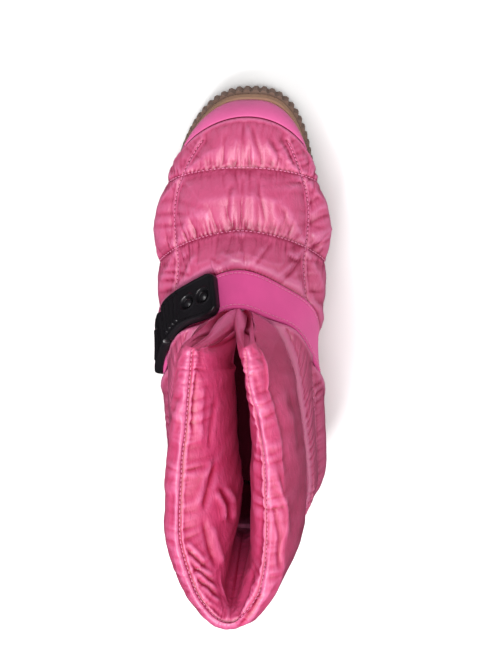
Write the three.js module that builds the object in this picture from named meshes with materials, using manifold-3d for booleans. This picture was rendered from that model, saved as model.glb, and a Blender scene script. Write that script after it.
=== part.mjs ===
// A quilted puffer ankle boot for the left foot, standing empty on its sole.
// Millimetres, +Z up, toe towards -Y, heel towards +Y, outer (lateral) side towards +X.
// The origin is on the floor, under the middle of the boot's box.
import * as THREE from "three";
import { mergeVertices } from "three/addons/utils/BufferGeometryUtils.js";
import Module from "manifold-3d";

const wasm = await Module();
wasm.setup();

// Sole
const SOLE_LENGTH = 284;
const BALL_WIDTH = 98; // across the ribs of the outsole
const TOE_ROUND = 92; // length over which the toe narrows
const HEEL_ROUND = 42; // length over which the heel narrows
const OUTSOLE_HEIGHT = 15;
const MIDSOLE_HEIGHT = 12; // under the ball
const HEEL_LIFT = 5; // extra midsole height under the heel
const TOE_SPRING = 9; // the toe's clearance from the floor
const ARCH_RISE = 2.4; // the waist's clearance from the floor
const RIB_PITCH = 5.7;
const RIB_DEPTH = 1.7;
const BAND_INSET = 2.2; // the smooth midsole stands this far inside the ribs
const LEDGE = 1.6; // flat shelf between the midsole's edge and the rand
const TREAD_DEPTH = 3.5;
const TREAD_RIM = 9; // solid rubber around the tread grooves
const TREAD_PITCH = 16;
const TREAD_GROOVE = 5;
const TREAD_SLANT = 12; // degrees, each half of the chevrons
const TREAD_BALL_END = 0.43; // share of SOLE_LENGTH where the ball's grooves end
const TREAD_HEEL_START = 0.68; // and where the heel's grooves start

// Upper and rand
const BODY_WIDTH = 105; // across the seams, at the ball
const UPPER_RISE = 85; // from the sole's top to the ankle seam
const INSTEP_ROUND = 8; // how bluntly the instep's section ends at its top
const WALL = 9;
const PUFF = 5.6; // how far a filled panel stands above its seams
const PUFF_ROUND = 14; // distance from a seam over which it fills out
const ANKLE_PUFF = 0.55; // share of the fill that is left at the ankle seam
const ANKLE_ROUND = 0.12; // share of the height over which it thins to that
const RAND_HEIGHT = 17;
const RAND_SIDE_HEIGHT = 11;
const RAND_THICKNESS = 1.6;
const RAND_HEEL = 0.5; // how much of the toe's extra rand height comes back at the heel
const INSOLE_THICKNESS = 4;
const INSOLE_PLAY = 2.4; // between the insole's edge and the wall round it

// Shaft
const SHAFT_BACK_HEIGHT = 231; // rim above the floor at the back
const SHAFT_FRONT_HEIGHT = 193; // rim above the floor at the front corners
const RIM_FRONT = 122; // rim's front corners behind the toe tip
const RIM_BACK = 284; // rim's back behind the toe tip
const RIM_LATERAL = 35; // rim's half widths, at its seam
const RIM_MEDIAL = 19;
const SHAFT_OUTER = 10; // fill outside and inside the shaft's middle surface
const SHAFT_INNER = 12;
const LATERAL_LINING = 12; // more fill inside, further down the collar's two sides
const MEDIAL_LINING = 6;
const LINING_SLOPE = 0.55; // share of the shaft's height over which it grows, from the rim
const LINING_FOOT = 0.4; // and over which it goes again, from the foot
const LATERAL_BULGE = 1; // how far the shaft's sides swell out at half height
const MEDIAL_BULGE = 6;
const END_THINNING = 0.6; // inner fill left beside the slit and at the shaft's back
const LIP_ROUND = 11; // radius of the rim's and the slit's rolled edge
const SLIT_HALF_GAP = 3; // half the gap between the front edges at the throat
const SLIT_ROUND = 9;

// Strap and buckle
const STRAP_WIDTH = 27;
const STRAP_THICKNESS = 2.2;
const STRAP_EDGE = 0.6; // bevel along the strap's edges
const STRAP_SEAT = 2.4; // what the strap leaves of the fill under it
const STRAP_CENTRE = 112; // behind the toe tip, over the instep
const CHANNEL_PLAY = 1; // beside the strap or the buckle, in the fill that they press in
const CHANNEL_RUN_OUT = 6; // how far that channel goes on past the strap's ends
const STRAP_SLOPE = 36; // degrees down towards the heel
const STRAP_END_RISE = 5; // where the strap's line ends above the sole's top, behind the rand
const PLATE_START = 13; // along the strap from the instep's middle
const PLATE_LENGTH = 48;
const PLATE_WIDTH = 30;
const PLATE_THICKNESS = 5;
const PLATE_CORNER = 6;
const PLATE_BEVEL = 1.2;
const RIVET_FIRST = 9.5; // first rivet from the plate's front end
const RIVET_PITCH = 13;
const RIVET_HOLE = 5; // radius of the round wells in the plate
const RIVET_WELL = 2.6; // depth of the wells
const RIVET_RADIUS = 3.2;
const GRIP_RIBS = 4;
const GRIP_PITCH = 3.8;
const GRIP_HEIGHT = 1.1;
const GRIP_LAST = 4; // last grip rib from the plate's end
const GRIP_MARGIN = 4; // grip ribs end this far inside the plate's sides
const GRIP_ROOT = 1; // how deep the grip ribs start in the plate
const RIVET_PROUD = 0.4; // the rivets' tops over the plate's top
const CATCH_LENGTH = 40;
const CATCH_WIDTH = 26;
const CATCH_THICKNESS = 5.5;
const CATCH_CORNER = 4;
const HIDDEN_SHARE = 0.45; // of the plate's and the catch's length, where no strap runs under them
const CATCH_SLOT = 4; // the opening for the anchor strap
const CATCH_BAR = 5; // plastic round that opening
const GAP = 0.3; // between pieces that meet
const LAYER = STRAP_THICKNESS + 1.5 * GAP; // from the strap's seat to what lies on the strap
const FINEST = 0.02; // detail below this is left out of the finished solids

// Sole outline: half width and centre as shares of BALL_WIDTH, at shares of SOLE_LENGTH
const OUTLINE = [
  { at: 0, half: 0.5, centre: -0.04 },
  { at: 0.1, half: 0.5, centre: -0.005 },
  { at: 0.18, half: 0.5, centre: 0.014 },
  { at: 0.33, half: 0.5, centre: 0.02 },
  { at: 0.58, half: 0.408, centre: 0.03 },
  { at: 0.83, half: 0.393, centre: 0 },
  { at: 1, half: 0.393, centre: -0.01 },
];
// Underside of the sole: clearance as shares of TOE_SPRING and ARCH_RISE
const UNDERSIDE = [
  { at: 0, spring: 1, arch: 0 },
  { at: 0.06, spring: 0.56, arch: 0 },
  { at: 0.13, spring: 0.2, arch: 0 },
  { at: 0.21, spring: 0, arch: 0 },
  { at: 0.44, spring: 0, arch: 0 },
  { at: 0.52, spring: 0, arch: 1 },
  { at: 0.6, spring: 0, arch: 1 },
  { at: 0.67, spring: 0, arch: 0 },
  { at: 1, spring: 0, arch: 0 },
];
// Body over the sole: half widths at its widest and at the ankle seam, as shares of BODY_WIDTH,
// the widest line's height as a share of the instep line's, and how round the section closes
const BODY = [
  { at: 0, bulge: 0.44, neck: 0, waist: 0.45, close: 0.5 },
  { at: 0.16, bulge: 0.466, neck: 0, waist: 0.45, close: 0.5 },
  { at: 0.25, bulge: 0.5, neck: 0, waist: 0.44, close: 0.6 },
  { at: 0.31, bulge: 0.51, neck: 0, waist: 0.4, close: 0.76 },
  { at: 0.4, bulge: 0.495, neck: 0, waist: 0.34, close: 1.05 },
  { at: 0.43, bulge: 0.48, neck: 0.02, waist: 0.34, close: 1.1 },
  { at: 0.48, bulge: 0.458, neck: 0.2, waist: 0.38, close: 1 },
  { at: 0.56, bulge: 0.44, neck: 0.3, waist: 0.42, close: 1 },
  { at: 0.7, bulge: 0.45, neck: 0.34, waist: 0.45, close: 1 },
  { at: 0.88, bulge: 0.445, neck: 0.35, waist: 0.45, close: 1 },
  { at: 1, bulge: 0.43, neck: 0.35, waist: 0.45, close: 1 },
];
// Instep line: height above the sole's top as a share of UPPER_RISE
const RIDGE = [
  { at: 0.021, rise: 0 },
  { at: 0.024, rise: 0.07 },
  { at: 0.033, rise: 0.135 },
  { at: 0.05, rise: 0.2 },
  { at: 0.088, rise: 0.292 },
  { at: 0.151, rise: 0.406 },
  { at: 0.211, rise: 0.51 },
  { at: 0.282, rise: 0.63 },
  { at: 0.352, rise: 0.775 },
  { at: 0.43, rise: 1 },
  { at: 0.44, rise: 1.02 },
];
// Heel line: how far back the body reaches, as a share of SOLE_LENGTH, at shares of UPPER_RISE
const HEEL = [
  { rise: 0, back: 0.981 },
  { rise: 0.2, back: 0.988 },
  { rise: 0.5, back: 0.988 },
  { rise: 0.75, back: 0.981 },
  { rise: 1, back: 0.972 },
  { rise: 1.3, back: 0.972 },
];
// Cross seams: place on the instep line, and how much further back they end at the rand
const CROSS_SEAMS = [
  { at: 0.151, sweep: 0.1 },
  { at: 0.282, sweep: 0.18 },
];
// Shaft's rim, from a front corner to the back point: how far out it lies on either side,
// as shares of RIM_LATERAL and RIM_MEDIAL
const RIM = [
  { along: 0, lateral: 0.75, medial: 0.28 },
  { along: 0.25, lateral: 0.82, medial: 0.48 },
  { along: 0.35, lateral: 0.87, medial: 0.75 },
  { along: 0.45, lateral: 0.95, medial: 0.93 },
  { along: 0.6, lateral: 1, medial: 1 },
  { along: 0.75, lateral: 0.74, medial: 0.9 },
  { along: 0.88, lateral: 0.36, medial: 0.46 },
  { along: 1, lateral: 0, medial: 0 },
];
// Side seam between the top panels and the side panels, as a share of UPPER_RISE
const SIDE_SEAM = [
  { at: 0.075, rise: 0.21 },
  { at: 0.12, rise: 0.25 },
  { at: 0.16, rise: 0.285 },
  { at: 0.22, rise: 0.34 },
  { at: 0.31, rise: 0.43 },
  { at: 0.45, rise: 0.53 },
  { at: 0.75, rise: 0.62 },
  { at: 1, rise: 0.62 },
];

const CLOSING = 1.25; // how the body's section leaves its widest line: 2 is round, 1 straight
const SIDE_SEAM_START = 0.5; // turn round the body, in radians, where the side seam starts
const SEAM_STEPS = 7;
const SEAM_REACH = 0.93; // how far down to the rand a cross seam's steps go
const SEAM_LEAD = 0.35; // its first step off the instep line, as a share of one
const SIDE_SEAM_STEPS = 30;
const STRAP_STEP = 4;
const STRAP_EVENING = 4; // neighbours on each side that even out the strap's line
const RIM_TIP = 4.5; // the rim's back point stands this far to the lateral side

const clamp = (v) => Math.min(1, Math.max(0, v));
const mix = (a, b, t) => a + (b - a) * t;
const smooth = (t) => clamp(t) * clamp(t) * (3 - 2 * clamp(t));

// A smooth line through one column of a table that never overshoots its rows
function follow(rows, key, value) {
  const xs = rows.map((r) => r[key]);
  const ys = rows.map((r) => r[value]);
  const slopes = xs.slice(1).map((x, i) => (ys[i + 1] - ys[i]) / (x - xs[i]));
  const tangent = xs.map((_, i) => {
    const before = slopes[i - 1];
    const after = slopes[i];
    if (before === undefined) return after;
    if (after === undefined) return before;
    return before * after <= 0 ? 0 : (2 * before * after) / (before + after);
  });
  return (x) => {
    if (x <= xs[0]) return ys[0];
    if (x >= xs[xs.length - 1]) return ys[ys.length - 1];
    const i = xs.findIndex((_, k) => x < xs[k + 1]);
    const h = xs[i + 1] - xs[i];
    const t = (x - xs[i]) / h;
    const [t2, t3] = [t * t, t * t * t];
    return (
      (2 * t3 - 3 * t2 + 1) * ys[i] +
      (t3 - 2 * t2 + t) * h * tangent[i] +
      (3 * t2 - 2 * t3) * ys[i + 1] +
      (t3 - t2) * h * tangent[i + 1]
    );
  };
}

const outlineHalf = follow(OUTLINE, "at", "half");
const outlineCentre = follow(OUTLINE, "at", "centre");
const underSpring = follow(UNDERSIDE, "at", "spring");
const underArch = follow(UNDERSIDE, "at", "arch");
const bodyBulge = follow(BODY, "at", "bulge");
const bodyNeck = follow(BODY, "at", "neck");
const bodyWaist = follow(BODY, "at", "waist");
const bodyClose = follow(BODY, "at", "close");
const rimLateral = follow(RIM, "along", "lateral");
const rimMedial = follow(RIM, "along", "medial");
const ridgeRise = follow(RIDGE, "at", "rise");
const heelBack = follow(HEEL, "rise", "back");
const sideSeamRise = follow(SIDE_SEAM, "at", "rise");

// How much of its full width a form has near a rounded end
const endRound = (share, p, q) => (1 - (1 - clamp(share)) ** p) ** (1 / q);
const toeRound = (y, start) => endRound((y - start) / (TOE_ROUND - start), 2, 2.6);
const heelRound = (y, end) => endRound((end - y) / HEEL_ROUND, 2.2, 2.1);

// Here y runs from the toe tip, 0, to the heel, SOLE_LENGTH; place() moves it to the part's frame
const soleCentre = (y) => outlineCentre(y / SOLE_LENGTH) * BALL_WIDTH;
const soleHalf = (y) =>
  outlineHalf(y / SOLE_LENGTH) * BALL_WIDTH * toeRound(y, 0) * heelRound(y, SOLE_LENGTH);
const soleBottom = (y) =>
  underSpring(y / SOLE_LENGTH) * TOE_SPRING + underArch(y / SOLE_LENGTH) * ARCH_RISE;
const soleMiddle = (y) => underSpring(y / SOLE_LENGTH) * TOE_SPRING + OUTSOLE_HEIGHT;
const soleTop = (y) =>
  soleMiddle(y) + MIDSOLE_HEIGHT + HEEL_LIFT * smooth((y / SOLE_LENGTH - 0.35) / 0.4);

// The sole's outline as points at even steps round it, moved inwards by inset
function soleOutline(count, inset) {
  const dense = 1440;
  const raw = Array.from({ length: dense }, (_, i) => {
    const turn = (2 * Math.PI * i) / dense;
    const y = (SOLE_LENGTH * (1 - Math.cos(turn))) / 2;
    return new THREE.Vector2(soleCentre(y) + Math.sign(Math.sin(turn)) * soleHalf(y), y);
  });
  const curve = new THREE.SplineCurve([...raw, raw[0]]);
  curve.arcLengthDivisions = dense;
  const even = curve.getSpacedPoints(count).slice(0, count);
  return even.map((p, i) => {
    const along = even[(i + 1) % count].clone().sub(even[(i + count - 1) % count]);
    const inward = new THREE.Vector2(-along.y, along.x).normalize();
    return p.clone().addScaledVector(inward, typeof inset === "function" ? inset(i) : inset);
  });
}

// A three.js geometry as a manifold-3d solid, and back
function solidOf(geometry) {
  const bare = geometry.index ? geometry.toNonIndexed() : geometry;
  const merged = mergeVertices(
    new THREE.BufferGeometry().setAttribute("position", bare.getAttribute("position")),
    1e-4,
  );
  return new wasm.Manifold(
    new wasm.Mesh({
      numProp: 3,
      vertProperties: merged.attributes.position.array,
      triVerts: new Uint32Array(merged.index.array),
    }),
  );
}

function geometryOf(solid) {
  const { numProp, vertProperties, triVerts } = solid.getMesh();
  const position = new Float32Array((vertProperties.length / numProp) * 3);
  for (let i = 0; i < position.length / 3; i++)
    for (let k = 0; k < 3; k++) position[i * 3 + k] = vertProperties[i * numProp + k];
  return new THREE.BufferGeometry()
    .setAttribute("position", new THREE.BufferAttribute(position, 3))
    .setIndex(new THREE.BufferAttribute(new Uint32Array(triVerts), 1));
}

// The solid without the chips that crossing cuts leave
const whole = (solid) => solid.decompose().sort((a, b) => b.volume() - a.volume())[0];

// A prism with the given plan outline, from under the floor to high
function prism(outline, high = SHAFT_BACK_HEIGHT) {
  const low = -1;
  const made = new THREE.ExtrudeGeometry(new THREE.Shape(outline), {
    depth: high - low,
    bevelEnabled: false,
    steps: 1,
  });
  return solidOf(made.translate(0, 0, low));
}

// The slab between two height lines, wider than the boot
function slab(lowLine, highLine) {
  const steps = 44;
  const margin = 12;
  const ys = Array.from({ length: steps + 1 }, (_, i) =>
    mix(-margin, SOLE_LENGTH + margin, i / steps),
  );
  const side = [
    ...ys.map((y) => new THREE.Vector2(y, lowLine(y))),
    ...ys.reverse().map((y) => new THREE.Vector2(y, highLine(y))),
  ];
  const made = new THREE.ExtrudeGeometry(new THREE.Shape(side), {
    depth: 2 * BALL_WIDTH,
    bevelEnabled: false,
    steps: 1,
  });
  // The shape's axes become y and z, and its depth becomes x
  const turn = new THREE.Matrix4().makeBasis(
    new THREE.Vector3(0, 1, 0),
    new THREE.Vector3(0, 0, 1),
    new THREE.Vector3(1, 0, 0),
  );
  return solidOf(made.applyMatrix4(turn).translate(-BALL_WIDTH, 0, 0));
}

// Joins rows of points into one closed surface. Each row is a closed ring of the same length;
// the first and last rows are filled, unless the rows themselves close on each other.
function ringSolid(rows, looped = false) {
  const count = rows[0].length;
  const points = rows.flat();
  const faces = [];
  const at = (row, i) => (row % rows.length) * count + (i % count);
  const last = looped ? rows.length : rows.length - 1;
  for (let r = 0; r < last; r++)
    for (let i = 0; i < count; i++)
      faces.push(
        [at(r, i), at(r, i + 1), at(r + 1, i + 1)],
        [at(r, i), at(r + 1, i + 1), at(r + 1, i)],
      );
  if (!looped)
    for (let i = 1; i < count - 1; i++)
      faces.push(
        [at(0, 0), at(0, i + 1), at(0, i)],
        [at(last, 0), at(last, i), at(last, i + 1)],
      );
  const position = new Float32Array(faces.flat().flatMap((k) => points[k].toArray()));
  const made = solidOf(
    new THREE.BufferGeometry().setAttribute("position", new THREE.BufferAttribute(position, 3)),
  );
  if (made.volume() >= 0) return made;
  const turned = new Float32Array(
    faces.map(([a, b, c]) => [a, c, b]).flat().flatMap((k) => points[k].toArray()),
  );
  return solidOf(
    new THREE.BufferGeometry().setAttribute("position", new THREE.BufferAttribute(turned, 3)),
  );
}

// The body's plain surface, at its seams: half width at a place and height, on either side
const featherInset = BAND_INSET + LEDGE + RAND_THICKNESS + 2 * GAP;
function bodyHalf(y, z) {
  const at = y / SOLE_LENGTH;
  const rise = z - soleTop(y);
  const end = heelBack(rise / UPPER_RISE) * SOLE_LENGTH;
  const round = toeRound(y, featherInset) * heelRound(y, end);
  const feather = (outlineHalf(at) * BALL_WIDTH - featherInset) * round;
  const bulge = bodyBulge(at) * BODY_WIDTH * round;
  const ridge = Math.max(FINEST, Math.min(1, ridgeRise(at)) * UPPER_RISE);
  const waist = bodyWaist(at) * ridge;
  if (rise <= waist) return mix(feather, bulge, Math.sin((Math.PI / 2) * clamp(rise / waist)));
  const neck = bodyNeck(at) * BODY_WIDTH * round;
  const above = clamp((rise - waist) / (ridge - waist));
  const side = mix(neck, bulge, (1 - above ** CLOSING) ** bodyClose(at));
  return Math.hypot(side, 2 * INSTEP_ROUND * round * Math.sqrt(above * (1 - above)));
}

// Where the body's level, a share of UPPER_RISE above the sole, starts and ends along the boot
function levelSpan(level) {
  let [front, behind] = [featherInset, 0.5 * SOLE_LENGTH];
  for (let i = 0; i < 40; i++) {
    const middle = (front + behind) / 2;
    if (ridgeRise(middle / SOLE_LENGTH) < level) front = middle;
    else behind = middle;
  }
  return [front, heelBack(level) * SOLE_LENGTH];
}

// A point of the plain body. turn runs from 0 at the toe, over pi at the heel, lateral side first
function bodyPoint(turn, level) {
  const [front, back] = levelSpan(level);
  const y = mix(front, back, (1 - Math.cos(turn)) / 2);
  const z = soleTop(y) + level * UPPER_RISE;
  return new THREE.Vector3(soleCentre(y) + Math.sign(Math.sin(turn)) * bodyHalf(y, z), y, z);
}

function bodyNormal(turn, level) {
  const step = 0.02;
  const low = Math.max(0.002, level - step);
  const along = bodyPoint(turn + step, level).sub(bodyPoint(turn - step, level));
  const up = bodyPoint(turn, level + step).sub(bodyPoint(turn, low));
  return up.cross(along).normalize().negate();
}

// The plain body's surface as a frame to build on
function bodyFrame(turn, level) {
  const out = bodyNormal(turn, level);
  out.z *= smooth(level / 0.2) * smooth((1 - level) / 0.08);
  return { origin: bodyPoint(turn, level), out: out.normalize() };
}

// A point moved off the plain surface, at the same height above the sole's top
function standOff({ origin, out }, offset) {
  const p = origin.clone().addScaledVector(out, offset);
  return p.setZ(p.z + soleTop(p.y) - soleTop(origin.y) + GAP);
}

const randHeight = (y) =>
  mix(RAND_HEIGHT, RAND_SIDE_HEIGHT, smooth((y / SOLE_LENGTH - 0.02) / 0.2)) +
  (RAND_HEIGHT - RAND_SIDE_HEIGHT) * RAND_HEEL * smooth((y / SOLE_LENGTH - 0.8) / 0.15);
const randLevel = (turn) => {
  const guess = randHeight(bodyPoint(turn, 0.1).y) / UPPER_RISE;
  return randHeight(bodyPoint(turn, guess).y) / UPPER_RISE;
};

// A filled panel's height at a distance from its seam
const fill = (distance, reach) => Math.sqrt(1 - (1 - clamp(distance / reach)) ** 2);

// The body's wall between two offsets of its plain surface. Rows below 1 share out the rand's
// height, and rows from 1 to 2 the height from there to the ankle.
function bodyWall(turns, outerRows, innerRows, outer, inner) {
  const ring = (row, offset) =>
    Array.from({ length: turns }, (_, i) => {
      const turn = (2 * Math.PI * (i + 0.5)) / turns;
      const rand = randLevel(turn);
      const level = row < 1 ? row * rand : mix(rand, 1, row - 1);
      return standOff(bodyFrame(turn, level), offset(row, (level - rand) * UPPER_RISE));
    });
  const rows = [
    ...outerRows.map((row) => ring(row, outer)),
    ...[...innerRows].reverse().map((row) => ring(row, inner)),
  ];
  return ringSolid(rows, true);
}

// A groove along a seam, with rounded shoulders
function seamGroove(frames) {
  const reach = PUFF_ROUND;
  const profile = [1, 0.45, 0.15, 0, -0.15, -0.45, -1];
  const rows = frames.map(({ origin, out }, i) => {
    const [before, after] = [frames[Math.max(0, i - 1)], frames[Math.min(frames.length - 1, i + 1)]];
    const along = after.origin.clone().sub(before.origin).normalize();
    const across = along.cross(out).normalize();
    return profile.map((share) => {
      const high = Math.abs(share) === 1 ? PUFF * 2 : PUFF * fill(Math.abs(share), 1);
      return origin
        .clone()
        .addScaledVector(across, share * reach)
        .addScaledVector(out, high)
        .add(new THREE.Vector3(0, 0, GAP));
    });
  });
  return ringSolid(rows);
}

// The body's frame at a place along the boot, on either side, at a level
function frameAt(side, y, level) {
  const [front, back] = levelSpan(level);
  const turn = Math.acos(1 - (2 * clamp((y - front) / (back - front))));
  return bodyFrame(side * turn, level);
}

// A cross seam from rand to rand over the instep line, swept back at the sides
function crossSeam({ at, sweep }) {
  const top = ridgeRise(at) - 0.002;
  const side = (sign) =>
    Array.from({ length: SEAM_STEPS }, (_, i) => {
      const step = (i + SEAM_LEAD) / SEAM_STEPS;
      const rise = top * Math.cos((Math.PI / 2) * SEAM_REACH * step);
      const y = (at + sweep * (1 - rise / top)) * SOLE_LENGTH;
      return frameAt(sign, y, rise);
    });
  return [...side(1).reverse(), ...side(-1)];
}

// The seam between the top panels and the side panels, round the heel
const sideSeam = Array.from({ length: SIDE_SEAM_STEPS + 1 }, (_, i) => {
  const turn = mix(SIDE_SEAM_START, 2 * Math.PI - SIDE_SEAM_START, i / SIDE_SEAM_STEPS);
  let level = sideSeamRise(1);
  for (let pass = 0; pass < 6; pass++)
    level = sideSeamRise(bodyPoint(turn, level).y / SOLE_LENGTH);
  return bodyFrame(turn, level);
});

// Strap path: the body's line in a plane that falls towards the heel, as frames, with their
// distance from the instep's middle, lateral side positive
const slope = THREE.MathUtils.degToRad(STRAP_SLOPE);
const strapPlane = new THREE.Vector3(0, Math.sin(slope), Math.cos(slope));
const instep = new THREE.Vector3(
  0,
  STRAP_CENTRE,
  soleTop(STRAP_CENTRE) + ridgeRise(STRAP_CENTRE / SOLE_LENGTH) * UPPER_RISE,
);
function strapFrames(side) {
  const found = [];
  for (let turn = 0.01; turn < 2.6; turn += 0.025) {
    let [low, high] = [0, 1];
    for (let i = 0; i < 30; i++) {
      const middle = (low + high) / 2;
      if (bodyPoint(side * turn, middle).sub(instep).dot(strapPlane) < 0) low = middle;
      else high = middle;
    }
    if (low * UPPER_RISE < STRAP_END_RISE) break;
    const frame = bodyFrame(side * turn, low);
    frame.origin.addScaledVector(frame.out, STRAP_SEAT).setZ(frame.origin.z + GAP);
    found.push(frame);
  }
  return found;
}
// A tight strap bridges small hollows, so its even frames are the mean of their neighbours
const strapLine = (() => {
  const [lateral, medial] = [strapFrames(1), strapFrames(-1)];
  const found = [...medial.reverse(), ...lateral];
  const places = [0];
  for (let i = 1; i < found.length; i++)
    places.push(places[i - 1] + found[i].origin.distanceTo(found[i - 1].origin));
  const middle = (places[medial.length - 1] + places[medial.length]) / 2;
  const at = (place) => {
    const i = Math.min(found.length - 1, Math.max(1, places.findIndex((p) => p >= place)));
    const share = (place - places[i - 1]) / (places[i] - places[i - 1]);
    return {
      origin: found[i - 1].origin.clone().lerp(found[i].origin, share),
      out: found[i - 1].out.clone().lerp(found[i].out, share).normalize(),
    };
  };
  const count = Math.round(places.at(-1) / STRAP_STEP) * 2;
  const even = Array.from({ length: count }, (_, i) => (places.at(-1) * i) / (count - 1));
  const meaned = (frames) =>
    frames.map((_, i) => {
      const reach = Math.min(STRAP_EVENING, i, count - 1 - i);
      const near = frames.slice(i - reach, i + reach + 1);
      const sum = (key) => near.reduce((total, f) => total.add(f[key]), new THREE.Vector3());
      return { origin: sum("origin").divideScalar(near.length), out: sum("out").normalize() };
    });
  return { frames: meaned(meaned(even.map(at))), places: even.map((place) => place - middle) };
})();

function strapFrame(distance) {
  const { frames, places } = strapLine;
  const found = places.findIndex((place) => place >= distance);
  const i = found < 0 ? frames.length - 1 : Math.max(1, found);
  const share = (distance - places[i - 1]) / (places[i] - places[i - 1]);
  const origin = frames[i - 1].origin.clone().lerp(frames[i].origin, share);
  const out = frames[i - 1].out.clone().lerp(frames[i].out, share).normalize();
  const [a, b] = [Math.max(0, i - 2), Math.min(frames.length - 1, i + 1)];
  const along = frames[b].origin.clone().sub(frames[a].origin).normalize();
  const across = out.clone().cross(along).normalize();
  return { origin, along, across, out: along.clone().cross(across).normalize() };
}

const onStrap = (distance, across, out) => {
  const f = strapFrame(distance);
  return f.origin.clone().addScaledVector(f.across, across).addScaledVector(f.out, out);
};

// A band along the strap's path: half width and layer heights at each distance. All bands
// share their stations, so that layers lie parallel.
function strapBand(from, to, halfWidth, low, high, chamfer) {
  const stations = [from];
  const first = Math.ceil(from / STRAP_STEP + 0.1);
  for (let i = first; i * STRAP_STEP < to - 0.1 * STRAP_STEP; i++) stations.push(i * STRAP_STEP);
  const rows = [...stations, to].map((distance) => {
    const half = halfWidth(distance);
    return [
      [-half, low],
      [-half, high - Math.abs(chamfer)],
      [-half + chamfer, high],
      [half - chamfer, high],
      [half, high - Math.abs(chamfer)],
      [half, low],
    ].map(([across, out]) => onStrap(distance, across, out));
  });
  return ringSolid(rows);
}
const [strapStart, strapEnd] = [strapLine.places[0], strapLine.places.at(-1)];
const plateEnd = PLATE_START + PLATE_LENGTH;
const catchStart = plateEnd + 2 * GAP;
const catchEnd = catchStart + CATCH_LENGTH;

// Soles
const outlineLength = soleOutline(360, 0)
  .map((p, i, all) => p.distanceTo(all[(i + 1) % all.length]))
  .reduce((a, b) => a + b);
const ribCount = Math.round(outlineLength / RIB_PITCH);
const ribbed = soleOutline(3 * ribCount, (i) => (i % 3 === 0 ? RIB_DEPTH : 0));
const treadField = prism(soleOutline(60, TREAD_RIM), TREAD_DEPTH);
function treadGrooves() {
  const bars = [];
  const bar = (x, y, turn) =>
    solidOf(
      new THREE.BoxGeometry(BALL_WIDTH / 2, TREAD_GROOVE, 4 * TREAD_DEPTH)
        .rotateZ(THREE.MathUtils.degToRad(turn))
        .translate(x, y, 0),
    );
  for (let y = 1.5 * TREAD_PITCH; y < SOLE_LENGTH - TREAD_PITCH; y += TREAD_PITCH)
    if (y < TREAD_BALL_END * SOLE_LENGTH || y > TREAD_HEEL_START * SOLE_LENGTH)
      for (const side of [1, -1])
        bars.push(bar((side * BALL_WIDTH) / 4, y, side * TREAD_SLANT));
  return bars.reduce((a, b) => a.add(b)).intersect(treadField);
}
const outsole = prism(ribbed)
  .intersect(slab(soleBottom, (y) => soleMiddle(y) - GAP))
  .subtract(treadGrooves());
const midsole = prism(soleOutline(108, BAND_INSET)).intersect(slab(soleMiddle, soleTop));

// Upper, rand and insole
const BODY_TURNS = 60;
const RAND_TOP_ROW = 0.9; // the rand ends just under the fill that swells over it
const OUTER_ROWS = [0, 0.35, 0.7, 1, 1.03, 1.1, 1.2, 1.32, 1.45, 1.58, 1.7, 1.81, 1.91, 2];
const INNER_ROWS = [0, 1, 1.3, 1.6, 1.85, 2];
function upperSolid() {
  const puffed = (row, aboveRand) =>
    row < 1
      ? 0
      : PUFF * fill(aboveRand, PUFF_ROUND) * mix(ANKLE_PUFF, 1, fill(2 - row, ANKLE_ROUND));
  let made = bodyWall(BODY_TURNS, OUTER_ROWS, INNER_ROWS, puffed, () => -WALL);
  for (const seam of CROSS_SEAMS) made = made.subtract(seamGroove(crossSeam(seam)));
  made = made.subtract(seamGroove(sideSeam));
  const atBuckle = (place) => place > PLATE_START - CHANNEL_PLAY && place < catchEnd + CHANNEL_PLAY;
  const channel = (place) => (atBuckle(place) ? PLATE_WIDTH : STRAP_WIDTH) / 2 + CHANNEL_PLAY;
  const [from, to] = [strapStart - CHANNEL_RUN_OUT, strapEnd + CHANNEL_RUN_OUT];
  const cut = strapBand(from, to, channel, -1.5 * GAP, 3 * PUFF, -PUFF);
  return whole(made.subtract(cut));
}
const upper = upperSolid();

const rand = bodyWall(
  BODY_TURNS,
  [0, 0.35, 0.7, RAND_TOP_ROW],
  [0, 0.35, 0.7, RAND_TOP_ROW],
  () => 2 * GAP + RAND_THICKNESS,
  () => 2 * GAP,
);
// The space that the rand takes up with a little round it, which the strap's ends stop at
const ZONE_ROWS = [-3, 1, 1.005];
const randZone = bodyWall(BODY_TURNS, ZONE_ROWS, ZONE_ROWS, () => 4 * PUFF, () => -GAP);

function insoleSolid() {
  const turns = 64;
  const rim = Array.from({ length: turns }, (_, i) => {
    const p = standOff(bodyFrame((2 * Math.PI * (i + 0.5)) / turns, 0), -WALL - INSOLE_PLAY);
    return new THREE.Vector2(p.x, p.y);
  });
  return prism(rim).intersect(
    slab((y) => soleTop(y) + GAP, (y) => soleTop(y) + GAP + INSOLE_THICKNESS),
  );
}
const insole = insoleSolid();

// Shaft: an open tube with a slit down its front. side is 1 lateral or -1 medial,
// along runs from the slit, 0, to the back, 1, and up from the ankle, 0, to the rim, 1.
function shaftMiddle(side, along, up) {
  const { origin, out } = bodyFrame(Math.PI * along * side, 1);
  const foot = origin.addScaledVector(out.setZ(0).normalize(), -WALL / 2);
  foot.x += side * SLIT_HALF_GAP * smooth(1 - along / 0.3);
  const share = (1 - Math.cos(Math.PI * along)) / 2;
  const half = side > 0 ? rimLateral(along) * RIM_LATERAL : -rimMedial(along) * RIM_MEDIAL;
  const rim = new THREE.Vector3(
    half + RIM_TIP * smooth((along - 0.6) / 0.4),
    mix(RIM_FRONT, RIM_BACK, share),
    mix(SHAFT_FRONT_HEIGHT, SHAFT_BACK_HEIGHT, share ** 0.9),
  );
  return foot.lerp(rim, up);
}

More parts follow.
